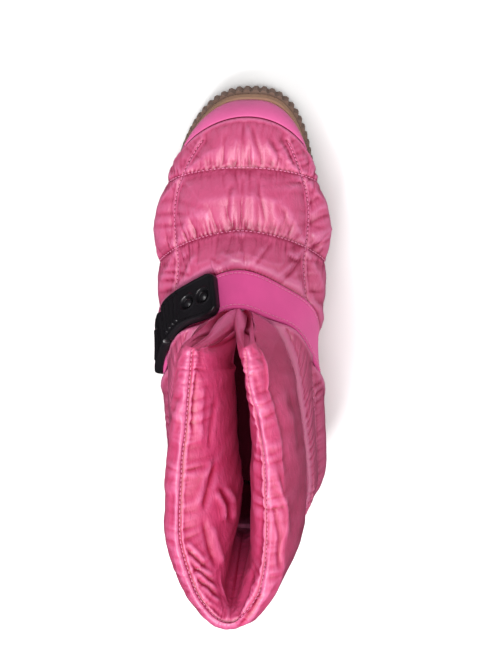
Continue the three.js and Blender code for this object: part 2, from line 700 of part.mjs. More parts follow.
function shaftNormal(side, along, up) {
  const step = 0.05;
  const [low, high] = [Math.max(0, up - step), Math.min(1, up + step)];
  const before = shaftMiddle(side, Math.max(0, along - step), up);
  const after =
    along + step > 1
      ? shaftMiddle(-side, 2 - along - step, up)
      : shaftMiddle(side, along + step, up);
  const round = after.sub(before);
  const rising = shaftMiddle(side, along, high).sub(shaftMiddle(side, along, low));
  return round.cross(rising).normalize().multiplyScalar(side);
}

const SHAFT_UPS = [0, 0.04, 0.12, 0.24, 0.4, 0.56, 0.7, 0.82, 0.9, 0.955, 0.985, 1];
const SHAFT_ALONGS = [
  0, 0.018, 0.05, 0.11, 0.17, 0.23, 0.29, 0.35, 0.42, 0.5, 0.58, 0.66, 0.73, 0.8, 0.87, 0.93,
];
function shaftSolid() {
  const stations = [
    ...SHAFT_ALONGS.map((along) => [1, along]),
    [1, 1],
    ...[...SHAFT_ALONGS].reverse().map((along) => [-1, along]),
  ];
  const height = SHAFT_BACK_HEIGHT - soleTop(SOLE_LENGTH / 2) - UPPER_RISE;
  const skin = (outward) => (side, along, up) => {
    const lip = fill((1 - up) * height, LIP_ROUND) * fill(along * RIM_BACK, SLIT_ROUND);
    const ends = Math.max(smooth(1 - along / 0.2), smooth((along - 0.7) / 0.3));
    const grown = smooth((1 - up) / LINING_SLOPE) * fill(up, LINING_FOOT) * (1 - ends);
    const lining = (side > 0 ? LATERAL_LINING : MEDIAL_LINING) * grown;
    const inward = SHAFT_INNER * mix(1, END_THINNING, ends) + lining;
    const full = outward > 0 ? SHAFT_OUTER : inward;
    const depth = mix(WALL * 0.25, full, fill(up, 0.2)) * Math.max(lip, 0.02);
    const swell = smooth(along / 0.3) * smooth((1 - along) / 0.3) * Math.sin(Math.PI * up);
    const bulge = (side > 0 ? LATERAL_BULGE : MEDIAL_BULGE) * swell;
    const normal = shaftNormal(side, along, up);
    normal.z *= smooth(up / 0.1);
    const p = shaftMiddle(side, along, up);
    p.addScaledVector(normal.normalize(), bulge + outward * depth);
    return up > 0 ? p : p.setZ(soleTop(p.y) + UPPER_RISE + 3 * GAP);
  };
  const [outer, inner] = [skin(1), skin(-1)];
  // Each station is a closed ring: up the outside, over the rim and down the inside
  const rings = stations.map(([side, along]) => [
    ...SHAFT_UPS.map((up) => outer(side, along, up)),
    ...[...SHAFT_UPS].reverse().map((up) => inner(side, along, up)),
  ]);
  return ringSolid(rings);
}
const shaft = shaftSolid();

// Strap and buckle
const roundedHalf = (from, to, width, corner) => (distance) => {
  const inward = Math.max(0, corner - Math.min(distance - from, to - distance));
  return width / 2 - corner + Math.sqrt(Math.max(0, corner ** 2 - inward ** 2));
};

const plateHalf = roundedHalf(PLATE_START, plateEnd, PLATE_WIDTH, PLATE_CORNER);
const catchHalf = roundedHalf(catchStart, catchEnd, CATCH_WIDTH, CATCH_CORNER);
const strapPiece = (from, to, under) =>
  whole(
    strapBand(from, to, () => STRAP_WIDTH / 2, 0, STRAP_THICKNESS, STRAP_EDGE)
      .subtract(randZone)
      .subtract(under),
  );
const strap = strapPiece(
  strapStart,
  plateEnd - PLATE_LENGTH * HIDDEN_SHARE,
  strapBand(PLATE_START, plateEnd, plateHalf, LAYER - GAP, 2 * LAYER, 0),
);
const anchor = strapPiece(
  catchStart + CATCH_LENGTH * HIDDEN_SHARE,
  strapEnd,
  strapBand(catchStart, catchEnd, catchHalf, LAYER - GAP, 2 * LAYER, 0),
);

// A round post or well standing out of the strap at a distance along it
function post(distance, low, high, radius, sides, topRadius = radius) {
  const f = strapFrame(distance);
  const made = new THREE.CylinderGeometry(topRadius, radius, high - low, sides);
  made.translate(0, (low + high) / 2, 0);
  made.applyMatrix4(new THREE.Matrix4().makeBasis(f.across, f.out, f.across.clone().cross(f.out)));
  return solidOf(made.translate(...f.origin.toArray()));
}

const plateTop = LAYER + PLATE_THICKNESS;
const rivetPlaces = [0, 1].map((i) => PLATE_START + RIVET_FIRST + i * RIVET_PITCH);
function plateSolid() {
  let made = strapBand(PLATE_START, plateEnd, plateHalf, LAYER, plateTop, PLATE_BEVEL);
  for (const place of rivetPlaces)
    made = made.subtract(post(place, plateTop - RIVET_WELL, 2 * plateTop, RIVET_HOLE, 20));
  for (let i = 0; i < GRIP_RIBS; i++) {
    const from = plateEnd - GRIP_LAST - i * GRIP_PITCH;
    const half = () => PLATE_WIDTH / 2 - GRIP_MARGIN;
    const [low, high] = [plateTop - GRIP_ROOT, plateTop + GRIP_HEIGHT];
    made = made.add(strapBand(from - GRIP_PITCH / 2, from, half, low, high, GRIP_HEIGHT / 2));
  }
  return made;
}
const plate = plateSolid();
const rivets = rivetPlaces.map((place) =>
  post(
    place,
    plateTop - RIVET_WELL + GAP,
    plateTop + RIVET_PROUD,
    RIVET_RADIUS,
    16,
    RIVET_RADIUS * 0.7,
  ),
);

function catchSolid() {
  const top = LAYER + CATCH_THICKNESS;
  const body = strapBand(catchStart, catchEnd, catchHalf, LAYER, top, PLATE_BEVEL);
  const from = catchEnd - CATCH_BAR - CATCH_SLOT;
  const slotHalf = () => CATCH_WIDTH / 2 - CATCH_BAR;
  return body.subtract(strapBand(from, from + CATCH_SLOT, slotHalf, 0, 3 * CATCH_THICKNESS, 0));
}
const buckleCatch = catchSolid();

// Materials, and the finished group
const rubber = new THREE.MeshStandardMaterial({ color: 0x8a6a58, roughness: 0.75 });
const gum = new THREE.MeshStandardMaterial({ color: 0x9a7058, roughness: 0.65 });
const nylon = new THREE.MeshStandardMaterial({ color: 0xdb5f93, roughness: 0.35 });
const webbing = new THREE.MeshStandardMaterial({ color: 0xd95c9a, roughness: 0.8 });
const plastic = new THREE.MeshStandardMaterial({ color: 0x161616, roughness: 0.45 });
const felt = new THREE.MeshStandardMaterial({ color: 0xc2406f, roughness: 0.9 });

const boot = new THREE.Group();
function addPiece(name, solid, material) {
  const mesh = new THREE.Mesh(geometryOf(solid.asOriginal().simplify(FINEST)), material);
  mesh.name = name;
  boot.add(mesh);
}
addPiece("outsole", outsole, rubber);
addPiece("midsole", midsole, gum);
addPiece("insole", insole, felt);
addPiece("upper", upper, nylon);
addPiece("toe_rand", rand, webbing);
addPiece("shaft", shaft, nylon);
addPiece("instep_strap", strap, webbing);
addPiece("strap_anchor", anchor, webbing);
addPiece("buckle_plate", plate, plastic);
addPiece("buckle_catch", buckleCatch, plastic);
rivets.forEach((solid, i) => addPiece("buckle_rivet_" + (i + 1), solid, plastic));

// The origin goes to the floor under the middle of the box
const box = new THREE.Box3().setFromObject(boot);
const middle = box.getCenter(new THREE.Vector3());
boot.position.set(-middle.x, -middle.y, -box.min.z);

export default boot;
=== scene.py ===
# The looks of a quilted puffer ankle boot for the left foot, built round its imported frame.
# The forms are worked out in millimetres, with y from the toe tip to the heel, and to_frame()
# brings them to the frame's metres. x is positive towards the outer (lateral) side.
import math

import bpy
import numpy as np
from mathutils import Matrix, Vector


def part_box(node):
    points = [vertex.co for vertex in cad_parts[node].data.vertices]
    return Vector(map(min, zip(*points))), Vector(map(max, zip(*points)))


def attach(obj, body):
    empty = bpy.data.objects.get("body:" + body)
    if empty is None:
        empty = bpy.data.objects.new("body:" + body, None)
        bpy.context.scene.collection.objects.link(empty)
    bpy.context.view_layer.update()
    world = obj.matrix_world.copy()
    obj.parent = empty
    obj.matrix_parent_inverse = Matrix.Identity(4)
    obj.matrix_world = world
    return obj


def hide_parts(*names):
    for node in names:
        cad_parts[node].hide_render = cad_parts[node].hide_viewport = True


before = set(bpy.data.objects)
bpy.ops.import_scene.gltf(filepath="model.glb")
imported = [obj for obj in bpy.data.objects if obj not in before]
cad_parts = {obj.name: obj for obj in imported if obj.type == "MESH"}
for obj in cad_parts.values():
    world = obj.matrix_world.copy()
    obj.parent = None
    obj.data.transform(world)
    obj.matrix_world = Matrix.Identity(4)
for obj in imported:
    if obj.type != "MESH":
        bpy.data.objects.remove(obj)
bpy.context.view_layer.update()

# Sizes, as in the frame's own source
SOLE_LENGTH = 284
BALL_WIDTH = 98
TOE_ROUND = 92
HEEL_ROUND = 42
OUTSOLE_HEIGHT = 15
MIDSOLE_HEIGHT = 12
HEEL_LIFT = 5
TOE_SPRING = 9
ARCH_RISE = 2.4
BAND_INSET = 2.2
LEDGE = 1.6
BODY_WIDTH = 105
UPPER_RISE = 85
INSTEP_ROUND = 8
WALL = 9
PUFF = 5.6
PUFF_ROUND = 14
ANKLE_PUFF = 0.55
ANKLE_ROUND = 0.12
RAND_HEIGHT = 17
RAND_SIDE_HEIGHT = 11
RAND_THICKNESS = 1.6
RAND_HEEL = 0.5
RAND_COVER = 0.94
INSOLE_THICKNESS = 4
SHAFT_BACK_HEIGHT = 231
SHAFT_FRONT_HEIGHT = 193
RIM_FRONT = 122
RIM_BACK = 284
RIM_LATERAL = 35
RIM_MEDIAL = 19
RIM_TIP = 4.5
SHAFT_OUTER = 10
LINING_REACH = 75
LINING_FOOT = 0.3
LINING_EDGE = 32
LATERAL_BULGE = 1
MEDIAL_BULGE = 6
LIP_ROUND = 11
SLIT_HALF_GAP = 3
SLIT_ROUND = 9
STRAP_WIDTH = 27
STRAP_THICKNESS = 2.2
STRAP_SEAT = 2.4
STRAP_CENTRE = 112
CHANNEL_PLAY = 1
STRAP_SLOPE = 36
STRAP_END_RISE = 5
STRAP_STEP = 4
STRAP_EVENING = 4
PLATE_START = 13
PLATE_LENGTH = 48
PLATE_WIDTH = 30
PLATE_THICKNESS = 5
PLATE_CORNER = 6
RIVET_FIRST = 9.5
RIVET_PITCH = 13
RIVET_HOLE = 5
RIVET_WELL = 2.6
GRIP_RIBS = 4
GRIP_PITCH = 3.8
GRIP_HEIGHT = 1.1
GRIP_LAST = 4
GRIP_MARGIN = 4
CATCH_LENGTH = 40
CATCH_WIDTH = 26
CATCH_THICKNESS = 5.5
CATCH_CORNER = 4
HIDDEN_SHARE = 0.45
GAP = 0.3
LAYER = STRAP_THICKNESS + 1.5 * GAP
CLOSING = 1.25
SIDE_SEAM_START = 0.4
SEAM_REACH = 0.93
FEATHER_INSET = BAND_INSET + LEDGE + RAND_THICKNESS + 2 * GAP

# Tables: at (share of the length), then half width and centre as shares of BALL_WIDTH
OUTLINE = np.array([
    (0, 0.5, -0.04), (0.1, 0.5, -0.005), (0.18, 0.5, 0.014), (0.33, 0.5, 0.02),
    (0.58, 0.408, 0.03), (0.83, 0.393, 0), (1, 0.393, -0.01),
])
# At, then the underside's clearance as shares of TOE_SPRING and ARCH_RISE
UNDERSIDE = np.array([
    (0, 1, 0), (0.06, 0.56, 0), (0.13, 0.2, 0), (0.21, 0, 0), (0.44, 0, 0),
    (0.52, 0, 1), (0.6, 0, 1), (0.67, 0, 0), (1, 0, 0),
])
# At, then bulge, neck, waist and close of the body's section
BODY = np.array([
    (0, 0.44, 0, 0.45, 0.5), (0.16, 0.466, 0, 0.45, 0.5), (0.25, 0.5, 0, 0.44, 0.6),
    (0.31, 0.51, 0, 0.4, 0.76), (0.4, 0.495, 0, 0.34, 1.05), (0.43, 0.48, 0.02, 0.34, 1.1),
    (0.48, 0.458, 0.2, 0.38, 1), (0.56, 0.44, 0.3, 0.42, 1), (0.7, 0.45, 0.34, 0.45, 1),
    (0.88, 0.445, 0.35, 0.45, 1), (1, 0.43, 0.35, 0.45, 1),
])
# At, then the instep line's rise as a share of UPPER_RISE
RIDGE = np.array([
    (0.021, 0), (0.024, 0.07), (0.033, 0.135), (0.05, 0.2), (0.088, 0.292), (0.151, 0.406),
    (0.211, 0.51), (0.282, 0.63), (0.352, 0.775), (0.43, 1), (0.44, 1.02),
])
# Rise as a share of UPPER_RISE, then how far back the heel reaches
HEEL = np.array([
    (0, 0.981), (0.2, 0.988), (0.5, 0.988), (0.75, 0.981), (1, 0.972), (1.3, 0.972),
])
# Place on the instep line and sweep of each cross seam
CROSS_SEAMS = [(0.151, 0.1), (0.282, 0.18)]
# Along the rim, then how far out it lies on the lateral and the medial side
RIM = np.array([
    (0, 0.75, 0.28), (0.25, 0.82, 0.48), (0.35, 0.87, 0.75), (0.45, 0.95, 0.93),
    (0.6, 1, 1), (0.75, 0.74, 0.9), (0.88, 0.36, 0.46), (1, 0, 0),
])
# Along the rim, then how thick the lining's fill is on the lateral and the medial side
LINING = np.array([
    (0, 8, 5), (0.12, 19, 12), (0.3, 29, 19), (0.45, 33, 24), (0.6, 36, 27), (0.74, 33, 25),
    (0.86, 23, 17), (0.94, 14, 11), (1, 8, 8),
])
# At, then the side seam's rise
SIDE_SEAM = np.array([
    (0.075, 0.21), (0.12, 0.25), (0.16, 0.285), (0.22, 0.34), (0.31, 0.43), (0.45, 0.53),
    (0.75, 0.62), (1, 0.62),
])


def clamp(v):
    return np.clip(v, 0, 1)


def mix(a, b, t):
    return a + (b - a) * t


def smooth(t):
    t = clamp(t)
    return t * t * (3 - 2 * t)


def fill(distance, reach):
    return np.sqrt(1 - (1 - clamp(np.asarray(distance, float) / reach)) ** 2)


def unit(v):
    return v / np.maximum(np.linalg.norm(v, axis=-1, keepdims=True), 1e-12)


def dot(a, b):
    return (a * b).sum(-1)


def lengths_along(line):
    """How far each point of a line is from its first, along the line."""
    return np.concatenate([[0], np.cumsum(np.linalg.norm(np.diff(line, axis=0), axis=1))])


def follow(rows, column):
    """A smooth line through one column of a table that never overshoots its rows."""
    xs, ys = rows[:, 0], rows[:, column]
    slopes = np.diff(ys) / np.diff(xs)
    before, after = slopes[:-1], slopes[1:]
    total = np.where(before + after == 0, 1, before + after)
    inner = np.where(before * after <= 0, 0, 2 * before * after / total)
    tangent = np.concatenate([slopes[:1], inner, slopes[-1:]])

    def at(x):
        x = np.clip(np.asarray(x, float), xs[0], xs[-1])
        i = np.clip(np.searchsorted(xs, x, side="right") - 1, 0, len(xs) - 2)
        h = xs[i + 1] - xs[i]
        t = (x - xs[i]) / h
        t2, t3 = t * t, t * t * t
        return (
            (2 * t3 - 3 * t2 + 1) * ys[i] + (t3 - 2 * t2 + t) * h * tangent[i]
            + (3 * t2 - 2 * t3) * ys[i + 1] + (t3 - t2) * h * tangent[i + 1]
        )

    return at


outline_half, outline_centre = follow(OUTLINE, 1), follow(OUTLINE, 2)
under_spring, under_arch = follow(UNDERSIDE, 1), follow(UNDERSIDE, 2)
body_bulge, body_neck, body_waist, body_close = (follow(BODY, k) for k in (1, 2, 3, 4))
ridge_rise, heel_back, side_seam_rise = follow(RIDGE, 1), follow(HEEL, 1), follow(SIDE_SEAM, 1)
rim_lateral, rim_medial = follow(RIM, 1), follow(RIM, 2)
lining_lateral, lining_medial = follow(LINING, 1), follow(LINING, 2)


def end_round(share, p, q):
    return (1 - (1 - clamp(share)) ** p) ** (1 / q)


def toe_round(y, start):
    return end_round((y - start) / (TOE_ROUND - start), 2, 2.6)


def heel_round(y, end):
    return end_round((end - y) / HEEL_ROUND, 2.2, 2.1)


def sole_centre(y):
    return outline_centre(y / SOLE_LENGTH) * BALL_WIDTH


def sole_half(y):
    return outline_half(y / SOLE_LENGTH) * BALL_WIDTH * toe_round(y, 0) * heel_round(y, SOLE_LENGTH)


def sole_bottom(y):
    share = y / SOLE_LENGTH
    return under_spring(share) * TOE_SPRING + under_arch(share) * ARCH_RISE


def sole_middle(y):
    return under_spring(y / SOLE_LENGTH) * TOE_SPRING + OUTSOLE_HEIGHT


def sole_top(y):
    return sole_middle(y) + MIDSOLE_HEIGHT + HEEL_LIFT * smooth((y / SOLE_LENGTH - 0.35) / 0.4)


def sole_outline(count, inset=0.0):
    """Points at even steps round the sole, moved inwards by inset, and the inward directions."""
    turn = np.linspace(0, 2 * math.pi, 4001)[:-1]
    y = SOLE_LENGTH * (1 - np.cos(turn)) / 2
    raw = np.stack([sole_centre(y) + np.sign(np.sin(turn)) * sole_half(y), y], -1)
    closed = np.vstack([raw, raw[:1]])
    place = lengths_along(closed)
    where = np.arange(count) / count * place[-1]
    even = np.stack([np.interp(where, place, closed[:, k]) for k in (0, 1)], -1)
    along = np.roll(even, -2, 0) - np.roll(even, 2, 0)
    inward = unit(np.stack([-along[:, 1], along[:, 0]], -1))
    return even + inward * np.reshape(inset, (-1, 1)), inward


def body_half(y, z):
    at = y / SOLE_LENGTH
    rise = z - sole_top(y)
    end = heel_back(rise / UPPER_RISE) * SOLE_LENGTH
    narrowing = toe_round(y, FEATHER_INSET) * heel_round(y, end)
    feather = (outline_half(at) * BALL_WIDTH - FEATHER_INSET) * narrowing
    bulge = body_bulge(at) * BODY_WIDTH * narrowing
    ridge = np.maximum(0.02, np.minimum(1, ridge_rise(at)) * UPPER_RISE)
    waist = body_waist(at) * ridge
    low = mix(feather, bulge, np.sin(math.pi / 2 * clamp(rise / waist)))
    neck = body_neck(at) * BODY_WIDTH * narrowing
    above = clamp((rise - waist) / (ridge - waist))
    side = mix(neck, bulge, (1 - above**CLOSING) ** body_close(at))
    high = np.hypot(side, 2 * INSTEP_ROUND * narrowing * np.sqrt(above * (1 - above)))
    return np.where(rise <= waist, low, high)


SPAN_Y = np.linspace(FEATHER_INSET, 0.5 * SOLE_LENGTH, 8000)
SPAN_RISE = ridge_rise(SPAN_Y / SOLE_LENGTH)


def level_span(level):
    return np.interp(level, SPAN_RISE, SPAN_Y), heel_back(level) * SOLE_LENGTH


def body_point(turn, level):
    front, back = level_span(level)
    y = mix(front, back, (1 - np.cos(turn)) / 2)
    z = sole_top(y) + level * UPPER_RISE
    return np.stack([sole_centre(y) + np.sign(np.sin(turn)) * body_half(y, z), y, z], -1)


def body_frame(turn, level):
    """The plain body's surface and its outward direction."""
    step = 0.02
    along = body_point(turn + step, level) - body_point(turn - step, level)
    up = body_point(turn, level + step) - body_point(turn, np.maximum(0.002, level - step))
    out = -unit(np.cross(up, along))
    out[..., 2] *= smooth(level / 0.2) * smooth((1 - level) / 0.08)
    return body_point(turn, level), unit(out)


def stand_off(origin, out, offset):
    p = origin + out * np.asarray(offset)[..., None]
    p[..., 2] += sole_top(p[..., 1]) - sole_top(origin[..., 1]) + GAP
    return p


def rand_height(y):
    share = y / SOLE_LENGTH
    extra = RAND_HEIGHT - RAND_SIDE_HEIGHT
    return (
        mix(RAND_HEIGHT, RAND_SIDE_HEIGHT, smooth((share - 0.02) / 0.2))
        + extra * RAND_HEEL * smooth((share - 0.8) / 0.15)
    )


def rand_level(turn):
    guess = rand_height(body_point(turn, 0.1)[..., 1]) / UPPER_RISE
    return rand_height(body_point(turn, guess)[..., 1]) / UPPER_RISE


# The frame's place: the outsole's box gives where the toe tip and the sole's centreline are
LOW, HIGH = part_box("outsole")
outer_line, _ = sole_outline(1200)
SHIFT = np.array([
    500 * (LOW.x + HIGH.x) - (outer_line[:, 0].min() + outer_line[:, 0].max()) / 2,
    1000 * LOW.y,
    0,
])


def to_frame(points):
    return (points + SHIFT) / 1000


# Meshes
def new_object(name, data):
    made = bpy.data.objects.new(name, data)
    bpy.context.scene.collection.objects.link(made)
    return made


def new_piece(name, points, faces, material, stands_for=()):
    mesh = bpy.data.meshes.new(name)
    mesh.from_pydata(to_frame(np.asarray(points, float)).tolist(), [], faces)
    mesh.validate()
    mesh.update()
    mesh.shade_smooth()
    piece = new_object(name, mesh)
    mesh.materials.append(material)
    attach(piece, "root")
    if stands_for:
        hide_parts(*stands_for)
    return piece


def ring_faces(rows, count, looped, turned=False):
    """Quads between rows of closed rings; looped joins the last row to the first."""
    r = np.arange(rows if looped else rows - 1)[:, None]
    i = np.arange(count)[None, :]
    a = r * count + i
    b = r * count + (i + 1) % count
    c = (r + 1) % rows * count + (i + 1) % count
    d = (r + 1) % rows * count + i
    quads = np.stack([a, b, c, d], -1).reshape(-1, 4)
    return quads[:, ::-1] if turned else quads


def volume(points, faces):
    p = points[faces[:, [0, 1, 2]]]
    q = points[faces[:, [0, 2, 3]]]
    return sum(np.einsum("ij,ij->i", t[:, 0], np.cross(t[:, 1], t[:, 2])).sum() for t in (p, q)) / 6


def ring_piece(name, rows, material, stands_for=(), looped=False):
    """A closed solid from rows of closed rings, rows as an array (rows, count, 3)."""
    points = rows.reshape(-1, 3)
    quads = ring_faces(rows.shape[0], rows.shape[1], looped)
    turned = volume(points - points.mean(0), quads) < 0
    if turned:
        quads = quads[:, ::-1]
    faces = quads.tolist()
    if not looped:
        count = rows.shape[1]
        first = list(range(count))
        last = [points.shape[0] - count + i for i in range(count)]
        faces.append(first if turned else first[::-1])
        faces.append(last[::-1] if turned else last)
    return new_piece(name, points, faces, material, stands_for)


# Noise, the same on each run
LATTICE = 4096


def lattice(seed):
    return np.random.default_rng(seed).uniform(-1, 1, LATTICE)


def noise1(x, seed):
    table = lattice(seed)
    i = np.floor(x).astype(int)
    return mix(table[i % LATTICE], table[(i + 1) % LATTICE], smooth(x - i))


def noise3(p, seed):
    table = lattice(seed)
    i = np.floor(p).astype(int)
    t = smooth(p - i)
    total = 0
    for dx in (0, 1):
        for dy in (0, 1):
            for dz in (0, 1):
                key = (i[..., 0] + dx) * 73 + (i[..., 1] + dy) * 1571 + (i[..., 2] + dz) * 3391
                weight = (
                    (t[..., 0] if dx else 1 - t[..., 0])
                    * (t[..., 1] if dy else 1 - t[..., 1])
                    * (t[..., 2] if dz else 1 - t[..., 2])
                )
                total = total + table[key % LATTICE] * weight
    return total


def to_line(points, line):
    """Distance from each point to a polyline, place along it, and which side of it in x, y."""
    flat = points.reshape(-1, 3)
    a, b = line[:-1], line[1:]
    ab = b - a
    length2 = (ab**2).sum(1)
    place = np.concatenate([[0], np.cumsum(np.sqrt(length2))])
    best = np.full(len(flat), 1e9)
    where = np.zeros(len(flat))
    foot = np.zeros_like(flat)
    for first in range(0, len(flat), 8192):
        p = flat[first : first + 8192]
        t = clamp(((p[:, None] - a) * ab).sum(-1) / length2)
        q = a + ab * t[..., None]
        d = ((p[:, None] - q) ** 2).sum(-1)
        k = d.argmin(1)
        n = np.arange(len(p))
        best[first : first + 8192] = np.sqrt(d[n, k])
        where[first : first + 8192] = mix(place[k], place[k + 1], t[n, k])
        foot[first : first + 8192] = q[n, k]
    shape = points.shape[:-1]
    return best.reshape(shape), where.reshape(shape), foot.reshape(points.shape)


# The photograph's view: where a point of the boot shows in it, in its pixels
TILT = math.radians(72)
VIEW_DISTANCE = 1500
FOCAL = 1620
AIM = np.array([-65, 187.9, 0])
VIEW_DOWN = np.array([0, math.sin(TILT), math.cos(TILT)])
VIEW_BACK = np.array([0, -math.cos(TILT), math.sin(TILT)])


def in_photo(points):
    away = points - AIM
    depth = VIEW_DISTANCE - away @ VIEW_BACK
    return np.stack([240 - FOCAL * away[..., 0] / depth, 329 + FOCAL * (away @ VIEW_DOWN) / depth], -1)


def strokes(points, table):
    """Soft troughs and ridges along lines drawn in the photograph's view. Each stroke
    is its height in mm, its half width in pixels, and the x and y of its points."""
    seen = in_photo(points)
    flat = np.concatenate([seen, np.zeros(seen.shape[:-1] + (1,))], -1)
    total = np.zeros(points.shape[:-1])
    for height, width, *line in table:
        line = np.reshape(line, (-1, 2)).astype(float)
        line = np.column_stack([line, np.zeros(len(line))])
        distance, place, _ = to_line(flat, line)
        length = np.linalg.norm(np.diff(line, axis=0), axis=1).sum()
        taper = smooth(place / length / 0.25 + 0.15) * smooth((1 - place / length) / 0.25 + 0.15)
        total += height * np.exp(-((distance / width) ** 2)) * taper
    return total


# Cloth: how many metres one millimetre of the boot is in the simulation
CLOTH_SCALE = 0.02
GROUP_STEPS = 50


def relax(points, faces, pin, spare, grow, pressure, frames):
    """The points after a cloth simulation: pinned where pin is 1, with the rest lengths grown
    where spare is 1, as gathered cloth has beside its seams."""
    mesh = bpy.data.meshes.new("cloth_work")
    mesh.from_pydata((points * CLOTH_SCALE).tolist(), [], faces.tolist())
    work = new_object("cloth_work", mesh)
    for name, weights in (("pin", pin), ("spare", spare)):
        group = work.vertex_groups.new(name=name)
        steps = np.round(weights * GROUP_STEPS).astype(int)
        for step in range(1, GROUP_STEPS + 1):
            group.add(np.nonzero(steps == step)[0].tolist(), step / GROUP_STEPS, "REPLACE")
    modifier = work.modifiers.new("cloth", "CLOTH")
    cloth = modifier.settings
    for key, value in {
        "quality": 4, "mass": 0.3, "air_damping": 2, "tension_stiffness": 15,
        "compression_stiffness": 15, "shear_stiffness": 6, "bending_stiffness": 0.4,
        "tension_damping": 10, "compression_damping": 10, "shear_damping": 10,
        "use_pressure": True, "uniform_pressure_force": pressure,
        "vertex_group_shrink": "spare", "shrink_min": -0.2 * grow, "shrink_max": -grow,
        "vertex_group_mass": "pin", "pin_stiffness": 1,
    }.items():
        setattr(cloth, key, value)
    cloth.effector_weights.gravity = 0
    modifier.collision_settings.use_collision = False
    modifier.point_cache.frame_start = 1
    modifier.point_cache.frame_end = frames
    for number in range(1, frames + 1):
        bpy.context.scene.frame_set(number)
    graph = bpy.context.evaluated_depsgraph_get()
    result = work.evaluated_get(graph).to_mesh()
    moved = np.empty(len(points) * 3)
    result.vertices.foreach_get("co", moved)
    work.evaluated_get(graph).to_mesh_clear()
    bpy.data.objects.remove(work)
    bpy.data.meshes.remove(mesh)
    bpy.context.scene.frame_set(1)
    return moved.reshape(-1, 3) / CLOTH_SCALE


def held(moved, start, out, most_out, most_along):
    """Moved points, kept within a distance of where they started, out of and along the skin."""
    shift = moved - start
    shift[:, 1:-1] = (shift[:, :-2] + 2 * shift[:, 1:-1] + shift[:, 2:]) / 4
    shift[1:-1] = (shift[:-2] + 2 * shift[1:-1] + shift[2:]) / 4
    rise = dot(shift, out)
    slide = shift - out * rise[..., None]
    far = np.linalg.norm(slide, axis=-1)
    slide *= (most_along * np.tanh(far / most_along) / np.maximum(far, 1e-9))[..., None]
    return start + slide + out * (most_out * np.tanh(rise / most_out))[..., None]


# Materials
def node_maker(name):
    """A new material's functions: add a node, add a bump, and set the shader's inputs."""
    material = bpy.data.materials.new(name)
    material.use_nodes = True
    tree = material.node_tree
    shader = tree.nodes["Principled BSDF"]

    def put(node, inputs):
        for key, value in inputs.items():
            if isinstance(value, bpy.types.NodeSocket):
                tree.links.new(value, node.inputs[key])
            else:
                node.inputs[key].default_value = value

    def add(kind, inputs, output, **values):
        """A new node's output, after its inputs are linked or set."""
        node = tree.nodes.new("ShaderNode" + kind)
        for key, value in values.items():
            setattr(node, key, value)
        put(node, inputs)
        return node.outputs[output]

    def bump(height, strength, distance, under=None):
        inputs = {"Height": height, "Strength": strength, "Distance": distance}
        if under:
            inputs["Normal"] = under
        return add("Bump", inputs, "Normal")

    def finish(**inputs):
        put(shader, {key.replace("_", " "): value for key, value in inputs.items()})
        return material

    return add, bump, finish


def srgb(r, g, b):
    values = np.array([r, g, b]) / 255
    linear = np.where(values <= 0.04045, values / 12.92, ((values + 0.055) / 1.055) ** 2.4)
    return (*linear.tolist(), 1)


def nylon(name, colour, painted_shade, light, roughness, wrinkle):
    """Thin glossy nylon over filling: colour painted darker in the valleys of its folds as painted shade and
    lighter on their ridges as painted light, fine wrinkles, a soft coat.
    """
    add, bump, finish = node_maker(name)
    place = add("TexCoord", {}, "Object")
    broad = add("TexNoise", {"Vector": place, "Scale": 28, "Detail": 3}, "Fac")
    # Painted shade and painted light: the colour runs from the shade colour in the valleys of the folds to
    # the light colour on their ridges.
    fold_shade = add("Attribute", {}, "Fac", attribute_name="fold_shade")
    tone = add("ValToRGB", {"Fac": fold_shade}, "Color")
    ramp = tone.node.color_ramp.elements
    ramp[0].position, ramp[0].color = 0.12, painted_shade
    ramp[1].position, ramp[1].color = 0.85, light
    ramp.new(0.5).color = colour
    cloudy = add(
        "Mix", {"Factor": 0.12, "A": tone, "B": broad}, "Result", data_type="RGBA", blend_type="SOFT_LIGHT"
    )
    stretched = add("Mapping", {"Vector": place, "Scale": (1, 0.45, 0.8)}, "Vector")
    creased = add(
        "TexNoise",
        {"Vector": stretched, "Scale": 260, "Detail": 5, "Roughness": 0.55, "Distortion": 0.6},
        "Fac",
    )
    fine = add("TexNoise", {"Vector": place, "Scale": 1500, "Detail": 2}, "Fac")
    rough = add(
        "MapRange", {"Value": creased, "To Min": roughness - 0.06, "To Max": roughness + 0.1}, "Result"
    )
    return finish(
        Base_Color=cloudy, Normal=bump(fine, 0.12, 0.0002, bump(creased, wrinkle, 0.0012)), Roughness=rough,
        Sheen_Weight=0.05, Sheen_Roughness=0.4, Sheen_Tint=light, IOR=1.4, Coat_IOR=1.45,
        Coat_Weight=0.9, Coat_Roughness=0.4,
    )


def woven(name, colour, pitch, strength, roughness, sheen):
    """Matte cloth with a fine diagonal weave."""
    add, bump, finish = node_maker(name)
    place = add("TexCoord", {}, "Object")
    noise = add("TexNoise", {"Vector": place, "Scale": 60, "Detail": 4}, "Fac")
    darker = tuple(c * 0.8 for c in colour[:3]) + (1,)
    tone = add("Mix", {"Factor": noise, "A": darker, "B": colour}, "Result", data_type="RGBA")
    threads = {"Vector": place, "Scale": 1 / pitch, "Distortion": 0.6, "Detail": 1}
    waves = [add("TexWave", threads, "Fac", bands_direction=way) for way in ("X", "Z")]
    crossed = add("Math", {0: waves[0], 1: waves[1]}, "Value", operation="MAXIMUM")
    return finish(
        Base_Color=tone, Normal=bump(noise, 0.15, 0.001, bump(crossed, strength, 0.0002)),
        Roughness=roughness, Sheen_Weight=sheen, Sheen_Roughness=0.5, Specular_IOR_Level=0.3,
    )


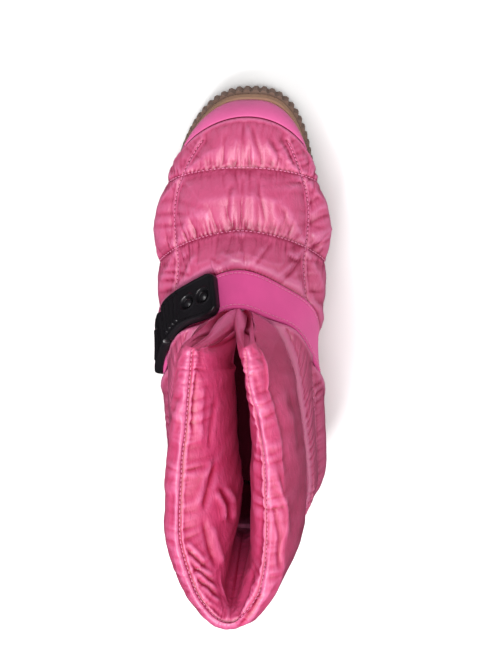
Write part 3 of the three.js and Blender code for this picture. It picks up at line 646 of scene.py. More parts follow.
def moulded(name, colour, other, roughness, grain):
    """Moulded rubber or plastic: cloudy tone, fine grain and scuffed roughness."""
    add, bump, finish = node_maker(name)
    place = add("TexCoord", {}, "Object")
    noise = add("TexNoise", {"Vector": place, "Scale": 40, "Detail": 6, "Roughness": 0.6}, "Fac")
    tone = add("Mix", {"Factor": noise, "A": colour, "B": other}, "Result", data_type="RGBA")
    fine = add("TexNoise", {"Vector": place, "Scale": 1440, "Detail": 3}, "Fac")
    rough = add(
        "MapRange", {"Value": noise, "To Min": roughness - 0.08, "To Max": roughness + 0.1}, "Result"
    )
    return finish(Base_Color=tone, Normal=bump(fine, grain, 0.0003), Roughness=rough)


# Each nylon's second colour is painted shade for the valleys of its folds, and its third is painted light for
# their ridges.
shell_nylon = nylon(
    "shell_nylon", srgb(188, 70, 112), srgb(146, 26, 68), srgb(202, 98, 140),
    roughness=0.38, wrinkle=0.75,
)
collar_nylon = nylon(
    "collar_nylon", srgb(192, 60, 106), srgb(156, 13, 57), srgb(205, 92, 137),
    roughness=0.38, wrinkle=0.75,
)
rand_cloth = woven("rand_cloth", srgb(214, 92, 150), pitch=0.0009, strength=0.25, roughness=0.55, sheen=0.08)
strap_cloth = woven("strap_cloth", srgb(222, 78, 148), pitch=0.0009, strength=0.35, roughness=0.7, sheen=0.06)
thread = woven("thread", srgb(226, 120, 165), pitch=0.0006, strength=0.3, roughness=0.5, sheen=0.2)
rib_rubber = moulded("rib_rubber", srgb(138, 112, 100), srgb(118, 92, 80), roughness=0.72, grain=0.3)
band_rubber = moulded("band_rubber", srgb(170, 130, 104), srgb(152, 112, 88), roughness=0.55, grain=0.15)
black_plastic = moulded("black_plastic", srgb(30, 27, 31), srgb(22, 20, 24), roughness=0.3, grain=0.1)
felt = woven("felt", srgb(130, 16, 52), pitch=0.0012, strength=0.5, roughness=0.9, sheen=0.03)


def paint_fold_shade(piece, shape, reach):
    """Stores how far each point of a grid lies down in the valleys or up on the ridges of its folds, 0 to 1,
    for the nylon's colour: painted shade in the valleys, painted light on the ridges.
    """
    count = len(piece.data.vertices)
    points = np.empty(count * 3)
    piece.data.vertices.foreach_get("co", points)
    grid = points.reshape(shape + (3,)) * 1000
    normals = np.empty(count * 3)
    piece.data.vertices.foreach_get("normal", normals)
    normals = normals.reshape(shape + (3,))
    near = grid
    for _ in range(reach):
        sides = np.roll(near, 1, 1) + np.roll(near, -1, 1)
        up = np.concatenate([near[:1], near[:-1]]) + np.concatenate([near[1:], near[-1:]])
        near = (sides + up) / 4
    height = dot(grid - near, normals)
    values = clamp(0.5 + height / 1.4)
    attribute = piece.data.attributes.new("fold_shade", "FLOAT", "POINT")
    attribute.data.foreach_set("value", values.reshape(-1).astype(np.float32))


# The strap's path
slope = math.radians(STRAP_SLOPE)
STRAP_PLANE = np.array([0, math.sin(slope), math.cos(slope)])
INSTEP = np.array([
    0, STRAP_CENTRE, sole_top(STRAP_CENTRE) + ridge_rise(STRAP_CENTRE / SOLE_LENGTH) * UPPER_RISE
])


def strap_side(side):
    turns = np.arange(0.01, 2.6, 0.025) * side
    low, high = np.zeros_like(turns), np.ones_like(turns)
    for _ in range(30):
        middle = (low + high) / 2
        under = (body_point(turns, middle) - INSTEP) @ STRAP_PLANE < 0
        low, high = np.where(under, middle, low), np.where(under, high, middle)
    short = np.nonzero(low * UPPER_RISE < STRAP_END_RISE)[0]
    keep = short[0] if len(short) else len(turns)
    origin, out = body_frame(turns[:keep], low[:keep])
    origin = origin + out * STRAP_SEAT
    origin[:, 2] += GAP
    return origin, out


def strap_path():
    lateral, medial = strap_side(1), strap_side(-1)
    origin, out = (np.concatenate([m[::-1], l]) for m, l in zip(medial, lateral))
    places = lengths_along(origin)
    middle = (places[len(medial[0]) - 1] + places[len(medial[0])]) / 2
    count = round(places[-1] / STRAP_STEP) * 2
    even = np.linspace(0, places[-1], count)
    rows = np.column_stack([origin, out])
    rows = np.column_stack([np.interp(even, places, rows[:, k]) for k in range(6)])
    reaches = [min(STRAP_EVENING, i, count - 1 - i) for i in range(count)]
    for _ in range(2):
        rows = np.array([rows[i - reach : i + reach + 1].mean(0) for i, reach in enumerate(reaches)])
    return rows, even - middle


STRAP_ROWS, STRAP_PLACES = strap_path()
STRAP_FROM, STRAP_TO = STRAP_PLACES[0], STRAP_PLACES[-1]


def strap_frame(distance):
    distance = np.asarray(distance, float)

    def at(d):
        where = (d - STRAP_FROM) / (STRAP_PLACES[1] - STRAP_PLACES[0])
        last = len(STRAP_ROWS) - 1
        i = np.clip(np.floor(where).astype(int), 0, last - 1)
        t = (where - i)[..., None]
        p0, p1 = STRAP_ROWS[np.maximum(i - 1, 0)], STRAP_ROWS[i]
        p2, p3 = STRAP_ROWS[i + 1], STRAP_ROWS[np.minimum(i + 2, last)]
        return 0.5 * (
            2 * p1 + (p2 - p0) * t + (2 * p0 - 5 * p1 + 4 * p2 - p3) * t**2
            + (3 * p1 - p0 - 3 * p2 + p3) * t**3
        )

    rows = at(distance)
    inside = np.clip(distance, STRAP_FROM + 2, STRAP_TO - 2)
    along = unit(at(inside + 2)[..., :3] - at(inside - 2)[..., :3])
    across = unit(np.cross(unit(rows[..., 3:]), along))
    return rows[..., :3], along, across, np.cross(along, across)


def on_strap(distance, across, out):
    origin, _, sideways, up = strap_frame(distance)
    return origin + sideways * np.asarray(across)[..., None] + up * np.asarray(out)[..., None]


PRESS_RISE = 11
PRESS_REACH = 17
STRAP_LINE = strap_frame(np.linspace(STRAP_FROM, STRAP_TO, 240))[0]
PLATE_END = PLATE_START + PLATE_LENGTH
CATCH_START = PLATE_END + 2 * GAP
CATCH_END = CATCH_START + CATCH_LENGTH


def by_strap(points):
    """Place along the strap, across it and above its seat, for points near it."""
    _, where, foot = to_line(points, STRAP_LINE)
    place = where + STRAP_FROM
    _, _, across, out = strap_frame(place)
    away = points - foot
    return place, dot(away, across), dot(away, out)


def pressed(points):
    """Points near the strap, pressed under its seat."""
    place, across, height = by_strap(points)
    at_buckle = (place > PLATE_START - CHANNEL_PLAY) & (place < CATCH_END + CHANNEL_PLAY)
    half = np.where(at_buckle, PLATE_WIDTH, STRAP_WIDTH) / 2 + CHANNEL_PLAY
    outside = np.maximum(0, np.abs(across) - half)
    limit = -1.2 * GAP + PRESS_RISE * fill(outside, PRESS_REACH)
    over = np.maximum(0, height - limit)
    inside = (place > STRAP_FROM - 0.1) & (place < STRAP_TO + 0.1)
    over = np.where(inside & (np.abs(across) < half + PRESS_REACH) & (np.abs(height) < 25), over, 0)
    _, _, _, out = strap_frame(place)
    return points - out * over[..., None], np.maximum(0, np.abs(across) - half), place


# The upper
UPPER_TURNS = 680
UPPER_RISES = 96


def cross_seam(at, sweep):
    top = ridge_rise(at) - 0.002
    step = np.linspace(0, 1, 60)
    rise = top * np.cos(math.pi / 2 * SEAM_REACH * step)
    y = (at + sweep * (1 - rise / top)) * SOLE_LENGTH
    front, back = level_span(rise)
    turn = np.arccos(1 - 2 * clamp((y - front) / (back - front)))
    turns = np.concatenate([turn[::-1], -turn[1:]])
    levels = np.concatenate([rise[::-1], rise[1:]])
    return body_frame(turns, levels)


def side_seam():
    turn = np.linspace(SIDE_SEAM_START, 2 * math.pi - SIDE_SEAM_START, 260)
    level = np.full_like(turn, side_seam_rise(1))
    for _ in range(6):
        level = side_seam_rise(body_point(turn, level)[..., 1] / SOLE_LENGTH)
    return body_frame(turn, level)


SEAMS = [cross_seam(*row) for row in CROSS_SEAMS] + [side_seam()]


def gathers(distance, place, reach, pitch, seed):
    """Small folds that run away from a seam: round ridges with sharp valleys between them."""
    total = 0
    for k, (size, height, long) in enumerate(((1, 0.55, 0.5), (2.3, 0.85, 1))):
        step = place / (pitch * size)
        lean = 0.55 * noise1(step / 2.5, seed + 3 * k) * distance / reach
        wave = np.abs(np.sin(math.pi * (step + 0.6 * noise1(step / 1.9, seed + 3 * k + 1) + lean)))
        strength = 0.55 + 0.45 * noise1(step / 1.3, seed + 3 * k + 2)
        length = reach * long * (0.55 + 0.45 * strength)
        total = total + height * (wave**0.7 - 0.6) * strength * np.exp(-((distance / length) ** 2))
    return total * (1 - np.exp(-distance / 1.2))


# Folds drawn over the toe and the instep: height, half width, then the points' x and y
UPPER_STROKES = [
    (-0.9, 1.5, 165, 156, 164.5, 170, 164.5, 189), (0.9, 2.2, 168, 160, 170, 174, 172, 188),
    (-0.8, 1.6, 171, 160, 174, 174, 178, 188), (0.7, 2.0, 161, 168, 160, 180, 159, 189),
    (-0.7, 1.5, 185, 170, 189, 180, 192, 189), (0.8, 2.0, 181, 170, 185, 180, 188, 189),
    (0.7, 1.8, 190, 172, 195, 181, 199, 190), (-0.6, 1.5, 196, 176, 199, 184, 203, 192),
    (-0.6, 1.5, 152, 165, 150, 178, 149, 188), (-0.9, 1.5, 164.5, 196, 164, 216, 163.5, 236),
    (0.7, 2.4, 159, 206, 157, 220, 156, 234), (-0.7, 1.6, 157, 202, 155, 218, 153, 233),
    (0.8, 2.2, 170, 206, 171, 220, 172, 236), (-0.9, 1.6, 174, 198, 176, 214, 180, 234),
    (0.6, 2.0, 184, 214, 186, 226, 189, 236), (-0.7, 1.6, 192, 222, 194, 230, 197, 238),
    (0.9, 3.2, 131, 229, 136, 226, 142, 229), (-1.0, 1.5, 164.5, 242, 164, 254, 164.5, 268),
    (0.9, 2.2, 178, 249, 172, 258, 167, 267), (-0.8, 1.6, 186, 246, 178, 256, 170, 267),
    (-1.0, 1.6, 208, 257, 200, 267, 191, 277), (0.9, 2.0, 205, 252, 197, 263, 187, 274),
    (0.9, 2.4, 149, 254, 157, 260, 163, 267), (-0.7, 1.8, 143, 258, 150, 264, 156, 269),
    (-0.8, 1.6, 126, 262, 123, 268, 121, 276), (0.8, 2.0, 133, 254, 128, 262, 126, 272),
    (-0.9, 1.6, 219, 213, 215, 217, 211, 219), (0.9, 2.0, 224, 219, 218, 222, 212, 227),
    (-0.9, 1.6, 226, 226, 219, 229, 212, 234), (0.8, 2.0, 228, 236, 220, 238, 213, 243),
    (-0.8, 1.6, 228, 244, 221, 246, 213, 251),
]


def make_upper():
    turn = 2 * math.pi * (np.arange(UPPER_TURNS) + 0.5) / UPPER_TURNS
    low_rows = np.array([0, 0.2, 0.4, 0.6, 0.8, 0.96])
    high_rows = 1 + np.linspace(0, 1, UPPER_RISES)
    outer_rows = np.concatenate([low_rows, high_rows])
    rand = rand_level(turn) * RAND_COVER

    def levels(rows):
        rows = rows[:, None]
        return np.where(rows < 1, rows * rand, mix(rand, 1, rows - 1))

    level = levels(outer_rows)
    origin, out = body_frame(np.broadcast_to(turn, level.shape), level)
    above = (level - rand) * UPPER_RISE
    row = outer_rows[:, None]
    # How far each point is from the nearest seam, and the folds that leave each seam
    lines = [to_line(origin, line) for line, _ in SEAMS]
    nearest = np.minimum.reduce([distance for distance, _, _ in lines])
    puffed = PUFF * fill(nearest, PUFF_ROUND) * fill(above, PUFF_ROUND)
    crown = smooth(nearest / 26) * smooth(above / 26)
    puffed = np.where(row < 1, 0, (puffed + 3.2 * crown) * mix(ANKLE_PUFF, 1, fill(2 - row, ANKLE_ROUND)))
    folds = np.zeros_like(puffed)
    for k, (distance, place, foot) in enumerate(lines):
        towards_toe = origin[..., 1] < foot[..., 1]
        higher = origin[..., 2] > foot[..., 2]
        strong = np.where(towards_toe, 1.0, 0.6) if k < 2 else np.where(higher, 0.55, 0.7)
        folds += 2.4 * strong * gathers(distance, place, reach=17, pitch=3.8, seed=20 + 7 * k)
    girth = np.broadcast_to(lengths_along(body_point(turn, rand)), above.shape)
    folds += 0.9 * gathers(np.maximum(0, above), girth, reach=12, pitch=4.8, seed=60)
    ankle = gathers((1 - level) * UPPER_RISE, girth, reach=20, pitch=4.4, seed=70)
    folds += 2.0 * ankle * smooth(origin[..., 1] / 40 - 3)
    folds *= (row >= 1) * fill(nearest, 5) * fill(above, 5)
    facing = dot(out, VIEW_BACK)
    drawn = strokes(origin, UPPER_STROKES) * smooth((facing - 0.1) / 0.3) * fill(nearest, 4) * (row >= 1)
    start = stand_off(origin, out, puffed)
    start, beside, place = pressed(start)
    quads = ring_faces(len(outer_rows), UPPER_TURNS, False, turned=True)
    pin = np.exp(-((nearest / 1.6) ** 2)) + (row < 1.02) + (row > 1.985)
    pin = clamp(pin + np.exp(-((beside / 3) ** 2)) * (np.abs(place) < 200) * (beside <= PRESS_REACH))
    spare = clamp(np.exp(-((nearest / 11) ** 2)) + 0.7 * np.exp(-((above / 9) ** 2)))
    moved = relax(
        start.reshape(-1, 3), quads, pin.reshape(-1), spare.reshape(-1),
        grow=0.045, pressure=4.0, frames=12,
    )
    start = held(moved.reshape(start.shape), start, out, most_out=2.0, most_along=1.2)
    near_strap = (np.abs(place) < 200) & (beside <= PRESS_REACH)
    folds *= np.where(near_strap, smooth(beside / 6), 1)
    start, _, _ = pressed(start + out * (folds + drawn)[..., None])
    inner_rows = np.array([0, 0.5, 1, 1.25, 1.5, 1.7, 1.85, 1.93, 1.97, 2])
    inner_level = levels(inner_rows)
    inner_origin, inner_out = body_frame(np.broadcast_to(turn, inner_level.shape), inner_level)
    inner = stand_off(inner_origin, inner_out, np.full(inner_level.shape, -WALL))
    grid = np.concatenate([start, inner[::-1]])
    return grid, len(outer_rows)


upper_grid, upper_outer_rows = make_upper()
upper = ring_piece("upper_shell", upper_grid, shell_nylon, ["upper"], looped=True)
# Painted shade in the valleys of the upper's folds and painted light on their ridges, stored for its colour.
paint_fold_shade(upper, upper_grid.shape[:2], 6)


def stitches(name, lines):
    """Short thread lengths along lines of points and outward directions, as one piece."""
    points, faces = [], []
    sides = np.linspace(0, 2 * math.pi, 7)[:-1]
    for line, out in lines:
        place = lengths_along(line)
        count = int(place[-1] / STITCH_PITCH)

        def at(where, rows):
            return np.stack([np.interp(where, place, rows[:, k]) for k in range(3)], -1)

        for i in range(count):
            start = (i + 0.5 - 0.5 * STITCH_SHARE) * STITCH_PITCH
            where = start + STITCH_PITCH * STITCH_SHARE * np.array([0, 0.12, 0.5, 0.88, 1])
            core, away = at(where, line), unit(at(where, out))
            core = core + away * (STITCH_RADIUS * np.array([-0.7, 0.1, 0.45, 0.1, -0.7]))[:, None]
            along = unit(core[-1] - core[0])
            across = unit(np.cross(away, along))
            up = np.cross(along, across)
            radius = STITCH_RADIUS * np.array([0.45, 0.85, 1, 0.85, 0.45])
            first = len(points)
            for row in range(5):
                ring = np.cos(sides)[:, None] * across[row] + np.sin(sides)[:, None] * up[row]
                points.extend(core[row] + ring * radius[row])
            for row in range(4):
                for k in range(6):
                    a, b = first + row * 6 + k, first + row * 6 + (k + 1) % 6
                    faces.append([a, b, b + 6, a + 6])
            faces.append([first + k for k in range(6)][::-1])
            faces.append([first + 24 + k for k in range(6)])
    return new_piece(name, np.array(points), faces, thread)


STITCH_PITCH = 2.7
STITCH_SHARE = 0.76
STITCH_RADIUS = 0.37


def on_skin(line, out, grid, reach=1.3):
    """A line lifted along out onto the skin's points near it."""
    flat = grid.reshape(-1, 3)
    heights = []
    for point, away in zip(line, out):
        near = flat[np.abs(flat - point).max(1) < 7] - point
        rise = near @ away
        beside = np.linalg.norm(near - rise[:, None] * away, axis=1)
        close = beside < max(reach, beside.min() + 0.2)
        heights.append(rise[close].mean())
    heights = np.array(heights)
    for _ in range(2):
        heights = np.convolve(np.pad(heights, 2, "edge"), np.full(5, 0.2), "valid")
    return line + out * (heights + 0.1)[:, None]


skin = upper_grid[:upper_outer_rows]
seam_lines = [(on_skin(stand_off(line, out, np.zeros(len(line))), out, skin), out) for line, out in SEAMS]
stitches("seam_stitches", seam_lines)


# The shaft
SHAFT_STATIONS = 420
SHAFT_RISES = 90
HEM_INSIDE = 1.5
HEM_GROOVE = 1.8
HEM_FADE = 22
HEM_ENDS = 12


def shaft_middle(side, along, up):
    origin, out = body_frame(math.pi * along * side, np.ones_like(along))
    out[..., 2] = 0
    foot = origin + unit(out) * (-WALL / 2)
    foot[..., 0] += side * SLIT_HALF_GAP * smooth(1 - along / 0.3)
    share = (1 - np.cos(math.pi * along)) / 2
    half = np.where(side > 0, rim_lateral(along) * RIM_LATERAL, -rim_medial(along) * RIM_MEDIAL)
    rim = np.stack([
        half + RIM_TIP * smooth((along - 0.6) / 0.4),
        mix(RIM_FRONT, RIM_BACK, share),
        mix(SHAFT_FRONT_HEIGHT, SHAFT_BACK_HEIGHT, share**0.9),
    ], -1)
    return mix(foot, rim, up[..., None])


def shaft_normal(side, along, up):
    step = 0.05
    low, high = np.maximum(0, up - step), np.minimum(1, up + step)
    before = shaft_middle(side, np.maximum(0, along - step), up)
    past = along + step > 1
    after = shaft_middle(
        np.where(past, -side, side), np.where(past, 2 - along - step, along + step), up
    )
    rising = shaft_middle(side, along, high) - shaft_middle(side, along, low)
    return unit(np.cross(after - before, rising)) * side[..., None]


SHAFT_HEIGHT = SHAFT_BACK_HEIGHT - sole_top(SOLE_LENGTH / 2) - UPPER_RISE


def shaft_skin(outward, side, along, up):
    below = (1 - up) * SHAFT_HEIGHT
    edge = fill(along * RIM_BACK, SLIT_ROUND)
    if outward > 0:
        full = SHAFT_OUTER * mix(1, 0.65, smooth(1 - along / 0.16)) * fill(below, LIP_ROUND)
    else:
        full = np.where(side > 0, lining_lateral(along), lining_medial(along))
        full = full * (1 - (1 - clamp(below / LINING_REACH)) ** 2) ** 0.65
        full = mix(WALL / 2, full, smooth(up / LINING_FOOT))
        edge = fill(along * RIM_BACK, LINING_EDGE) ** 0.8
    foot_depth = WALL * (mix(0.25, 0.85, smooth((along - 0.3) / 0.25)) if outward > 0 else 0.25)
    depth = np.maximum(mix(foot_depth, full, fill(up, 0.2)) * edge, 0.05)
    swell = smooth(along / 0.3) * smooth((1 - along) / 0.3) * np.sin(math.pi * up)
    bulge = np.where(side > 0, LATERAL_BULGE, MEDIAL_BULGE) * swell
    normal = shaft_normal(side, along, up)
    normal[..., 2] *= smooth(up / 0.1)
    normal = unit(normal)
    p = shaft_middle(side, along, up) + normal * (bulge + outward * depth)[..., None]
    foot = up <= 0
    p[..., 2] = np.where(foot, sole_top(p[..., 1]) + UPPER_RISE + 3 * GAP, p[..., 2])
    return p, normal * outward


# Folds drawn inside the collar and on its inner (medial) side, as UPPER_STROKES
LINING_STROKES = [
    (1.3, 2.2, 123.5, 469, 130, 476, 138, 485), (-1.2, 1.6, 124, 474, 132, 482, 140, 491),
    (1.3, 2.2, 125, 480, 134, 488, 143, 496), (-1.2, 1.6, 127, 486, 136, 493, 145, 501),
    (1.3, 2.2, 128, 490, 138, 498, 147, 506), (-1.1, 1.6, 130, 496, 140, 504, 148, 511),
    (1.2, 2.2, 132, 500, 141, 508, 150, 515), (1.6, 2.6, 145, 431, 151, 443, 152, 454),
    (-1.4, 1.8, 148, 428, 155, 441, 156, 455), (1.5, 2.6, 153, 428, 160, 440, 159, 454),
    (-1.8, 2.2, 147, 408, 142, 426, 136, 446), (1.5, 2.8, 142, 405, 136, 424, 131, 444),
    (-1.2, 2.0, 131, 345, 129, 370, 128, 392), (1.0, 2.6, 137, 350, 134, 372, 133, 396),
    (-1.0, 2.0, 146, 360, 142, 384, 141, 402), (-1.4, 2.2, 137, 452, 140, 470, 146, 490),
    (1.2, 2.6, 143, 456, 147, 472, 152, 488), (-1.3, 1.8, 133, 512, 143, 519, 151, 527),
    (1.2, 2.0, 150, 500, 153, 514, 154, 530),
]
MEDIAL_STROKES = [
    (1.6, 2.4, 167, 483, 161, 507, 156, 529), (-1.6, 1.8, 171, 486, 166, 508, 158, 530),
    (1.4, 2.2, 174, 496, 168, 514, 159, 531), (-1.5, 1.8, 180, 505, 172, 520, 161, 533),
    (-1.0, 1.8, 160, 340, 166, 358, 171, 378), (0.9, 2.2, 164, 336, 170, 352, 175, 370),
    (-1.2, 2.0, 174, 372, 176, 398, 175, 424), (1.0, 2.6, 171, 400, 171, 430, 171, 462),
    (-1.1, 1.8, 177, 436, 175, 462, 173, 484), (-1.2, 2.2, 187, 352, 196, 386, 199, 420),
    (1.2, 3.0, 193, 350, 203, 384, 206, 416), (-1.2, 2.2, 200, 350, 209, 386, 211, 420),
    (1.1, 2.6, 189, 420, 198, 446, 199, 470), (-1.2, 2.0, 187, 440, 193, 466, 192, 492),
]


def grid_normals(grid, near, around=False):
    """Outward directions of a grid's points, on the side that near points to."""
    def step(axis, closed):
        if closed:
            return np.roll(grid, -1, axis) - np.roll(grid, 1, axis)
        return np.gradient(grid, axis=axis)

    normal = unit(np.cross(step(0, False), step(1, around)))
    return normal * np.sign(dot(normal, near).sum())


def make_shaft():
    turns = np.linspace(-1, 1, SHAFT_STATIONS)
    # Stations crowd towards the slit's rolled edges
    along = (1 - np.abs(turns)) ** 1.15
    side = np.where(turns <= 0, 1.0, -1.0)
    up = 1 - (1 - np.linspace(0, 1, SHAFT_RISES)) ** 1.45
    shape = (len(turns), len(up))
    places = [np.broadcast_to(v, shape) for v in (side[:, None], along[:, None], up[None, :])]
    outer, outer_normal = shaft_skin(1, *places)
    inner, inner_normal = shaft_skin(-1, *places)
    grid = np.concatenate([outer, inner[:, ::-1]], 1)
    near = np.concatenate([outer_normal, inner_normal[:, ::-1]], 1)
    out = grid_normals(grid, near)
    # How far each point is from the rim, over the skin: below 0 outside, above 0 inside
    lengths = np.linalg.norm(np.diff(grid, axis=1), axis=2)
    arc = np.concatenate([np.zeros((len(turns), 1)), np.cumsum(lengths, 1)], 1)
    from_rim = arc - arc[:, len(up) - 1 : len(up)]
    rim = grid[:, len(up) - 1]
    place = lengths_along(rim)
    place = np.broadcast_to(place[:, None], grid.shape[:2])
    sides, alongs, ups = (np.concatenate([v, v[:, ::-1]], 1) for v in places)
    from_hem = from_rim - HEM_INSIDE
    inside = smooth(from_hem / 2)
    shape_on = smooth(alongs * RIM_BACK / HEM_FADE - 0.05) * smooth(ups / 0.15)
    # The hem's stitched groove, with small folds on both sides of it
    at_hem = smooth(alongs * RIM_BACK / HEM_FADE - 0.1)
    lift = -HEM_GROOVE * np.exp(-((from_hem / 1.2) ** 2)) * at_hem
    lift += 0.8 * smooth(-from_hem / 3) * smooth((13 + from_hem) / 7) * at_hem
    hem = gathers(np.abs(from_hem), place, reach=18, pitch=3.6, seed=80)
    lift += np.where(from_hem < 0, 1.5, 2.2) * hem * shape_on
    lift += 1.2 * gathers(ups * SHAFT_HEIGHT, place, reach=16, pitch=5, seed=90) * (1 - inside)
    # Long soft folds that slant down the sides, and crumples
    slant = np.stack([place / 17 + ups * 2.2, ups * 1.6, sides * 3.7 + 0 * ups], -1)
    lift += 0.8 * noise3(slant, 101) * shape_on * smooth(np.abs(from_hem) / 12)
    crumple = np.stack([place / 8 - ups * 4, ups * 2.6 + place / 90, inside * 5], -1)
    lift += 0.6 * noise3(crumple, 103) * shape_on * smooth(np.abs(from_hem) / 8)
    facing = smooth((dot(out, VIEW_BACK) - 0.05) / 0.3)
    drawn = strokes(grid, LINING_STROKES) * (sides > 0) * inside
    drawn += strokes(grid, MEDIAL_STROKES) * (sides < 0)
    lift += drawn * facing * shape_on
    start = grid + out * lift[..., None]
    pin = np.exp(-((from_hem / 1.5) ** 2)) + (ups < 0.05) + (alongs < 0.03)
    quads = ring_faces(start.shape[0], start.shape[1], False)
    spare = np.exp(-((from_hem / 9) ** 2)) * smooth(alongs / 0.05)
    moved = relax(
        start.reshape(-1, 3), quads, clamp(pin).reshape(-1), spare.reshape(-1),
        grow=0.04, pressure=3.0, frames=10,
    )
    start = held(moved.reshape(start.shape), start, out, most_out=1.6, most_along=1.2)
    return start, len(up)


shaft_grid, rim_at = make_shaft()
shaft = ring_piece("shaft_collar", shaft_grid, collar_nylon, ["shaft"])
# Painted shade in the valleys of the collar's folds and painted light on their ridges, stored for its colour.
paint_fold_shade(shaft, shaft_grid.shape[:2], 6)


def hem_line():
    """The hem's line: on each station, the skin point just inside the rim."""
    lengths = np.linalg.norm(np.diff(shaft_grid[:, rim_at - 1 :], axis=1), axis=2).cumsum(1)
    row = rim_at + np.argmax(lengths > HEM_INSIDE, axis=1)
    stations = np.arange(HEM_ENDS, len(shaft_grid) - HEM_ENDS)
    points = shaft_grid[stations, row[stations]]
    for _ in range(3):
        points[1:-1] = (points[:-2] + 2 * points[1:-1] + points[2:]) / 4
    return points + np.array([0, 0, 0.1]), np.tile([0.0, 0.0, 1.0], (len(points), 1))


stitches("hem_stitches", [hem_line()])


# Soles
outsole_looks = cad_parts["outsole"].data.materials
outsole_looks.clear()
outsole_looks.append(rib_rubber)


def make_midsole():
    count = 480
    line, inward = sole_outline(count, BAND_INSET)
    rows = []
    for share, inset in (
        (0, 6), (0, 0.8), (0.03, 0.3), (0.1, 0), (0.3, 0), (0.55, 0), (0.6, 0.35), (0.65, 0.35), (0.7, 0),
        (0.88, 0), (0.95, 0.25), (0.985, 0.7), (1, 1.4), (1, 6),
    ):
        point = line + inward * inset
        low, high = sole_middle(point[:, 1]), sole_top(point[:, 1])
        rows.append(np.column_stack([point, mix(low, high, share)]))
    return np.array(rows)


ring_piece("midsole_band", make_midsole(), band_rubber, ["midsole"])


def make_rand():
    turns = 600
    turn = 2 * math.pi * (np.arange(turns) + 0.5) / turns
    rand = rand_level(turn)
    thick = RAND_THICKNESS
    profile = [
        (0, 0.1), (0, 0.7), (0, 1), (0.25, 1), (0.5, 1), (0.72, 0.95), (0.82, 0.85), (0.89, 0.7),
        (0.925, 0.55), (0.935, 0.35), (0.925, 0.1), (0.8, 0), (0.5, 0), (0.2, 0),
    ]
    rows = []
    for row, share in profile:
        origin, out = body_frame(turn, row * rand)
        rows.append(stand_off(origin, out, np.full(turns, 2 * GAP + thick * share)))
    return np.array(rows)


ring_piece("toe_rand_cloth", make_rand(), rand_cloth, ["toe_rand"], looped=True)


def make_insole():
    turns = 256
    turn = 2 * math.pi * (np.arange(turns) + 0.5) / turns
    origin, out = body_frame(turn, np.zeros(turns))
    rim = stand_off(origin, out, np.full(turns, -WALL - 0.6))[:, :2]
    centre = np.column_stack([sole_centre(rim[:, 1]), np.clip(rim[:, 1], 40, 245)])
    rows = []
    for share, height in (
        (0.5, 0), (1, 0), (1, 0.5), (0.985, 0.85), (0.95, 1), (0.8, 0.98), (0.6, 0.96), (0.3, 0.95),
        (0.02, 0.95),
    ):
        point = mix(centre, rim, share)
        rows.append(np.column_stack([point, sole_top(point[:, 1]) + GAP + INSOLE_THICKNESS * height]))
    return np.array(rows)


ring_piece("insole_bed", make_insole(), felt, ["insole"])


# Strap and buckle
def band(stations, half, top, low, samples):
    """A closed band along the strap's path whose top is a height over place and width."""
    u = np.linspace(-1, 1, samples)
    rows = []
    for place in stations:
        width = max(0.05, half(place))
        across = u * width
        height = top(np.full(samples, place), across)
        upper_line = on_strap(np.full(samples, place), across, height)
        under = on_strap(np.full(samples, place), across[::-1], np.full(samples, low))
        rows.append(np.concatenate([upper_line, under]))
    return np.array(rows)


def webbing_top(place, across):
    edge = STRAP_WIDTH / 2 - np.abs(across)
    rounded = STRAP_THICKNESS * (0.35 + 0.65 * fill(edge, 1.0))
    groove = 0.28 * np.exp(-(((edge - 2.4) / 0.45) ** 2))
    ripple = 0.05 * np.sin(place * 2 * math.pi / 2.6) * np.exp(-(((edge - 2.4) / 1.2) ** 2))
    return rounded - groove + ripple


strap_stop = PLATE_END - PLATE_LENGTH * HIDDEN_SHARE
anchor_start = CATCH_START + CATCH_LENGTH * HIDDEN_SHARE
for name, start, end, count in (
    ("instep_strap", STRAP_FROM, strap_stop, 420), ("strap_anchor", anchor_start, STRAP_TO, 160)
):
    rows = band(np.linspace(start, end, count), lambda s: STRAP_WIDTH / 2, webbing_top, 0, 61)
    ring_piece(name + "_web", rows, strap_cloth, [name])


def strap_stitches(start, end):
    places = np.linspace(start, end, 200)
    rows = []
    for side in (-1, 1):
        across = np.full(200, side * (STRAP_WIDTH / 2 - 2.4))
        line = on_strap(places, across, np.full(200, STRAP_THICKNESS - 0.05))
        rows.append((line, strap_frame(places)[3]))
    return rows


stitches("strap_stitches", strap_stitches(STRAP_FROM + 1, strap_stop - 1))


def rounded_half(start, end, width, corner):
    def half(place):
        inward = max(0, corner - min(place - start, end - place))
        return width / 2 - corner + math.sqrt(max(0, corner**2 - inward**2))

    return half


plate_half = rounded_half(PLATE_START, PLATE_END, PLATE_WIDTH, PLATE_CORNER)
PLATE_TOP = LAYER + PLATE_THICKNESS
RIVETS = [PLATE_START + RIVET_FIRST + i * RIVET_PITCH for i in (0, 1)]


def from_edge(place, across, half, start, end):
    """How far a point of a rounded plate is from its nearest edge."""
    half = np.array([half(p) for p in np.atleast_1d(place)])
    return np.minimum(half - np.abs(across), np.minimum(place - start, end - place))


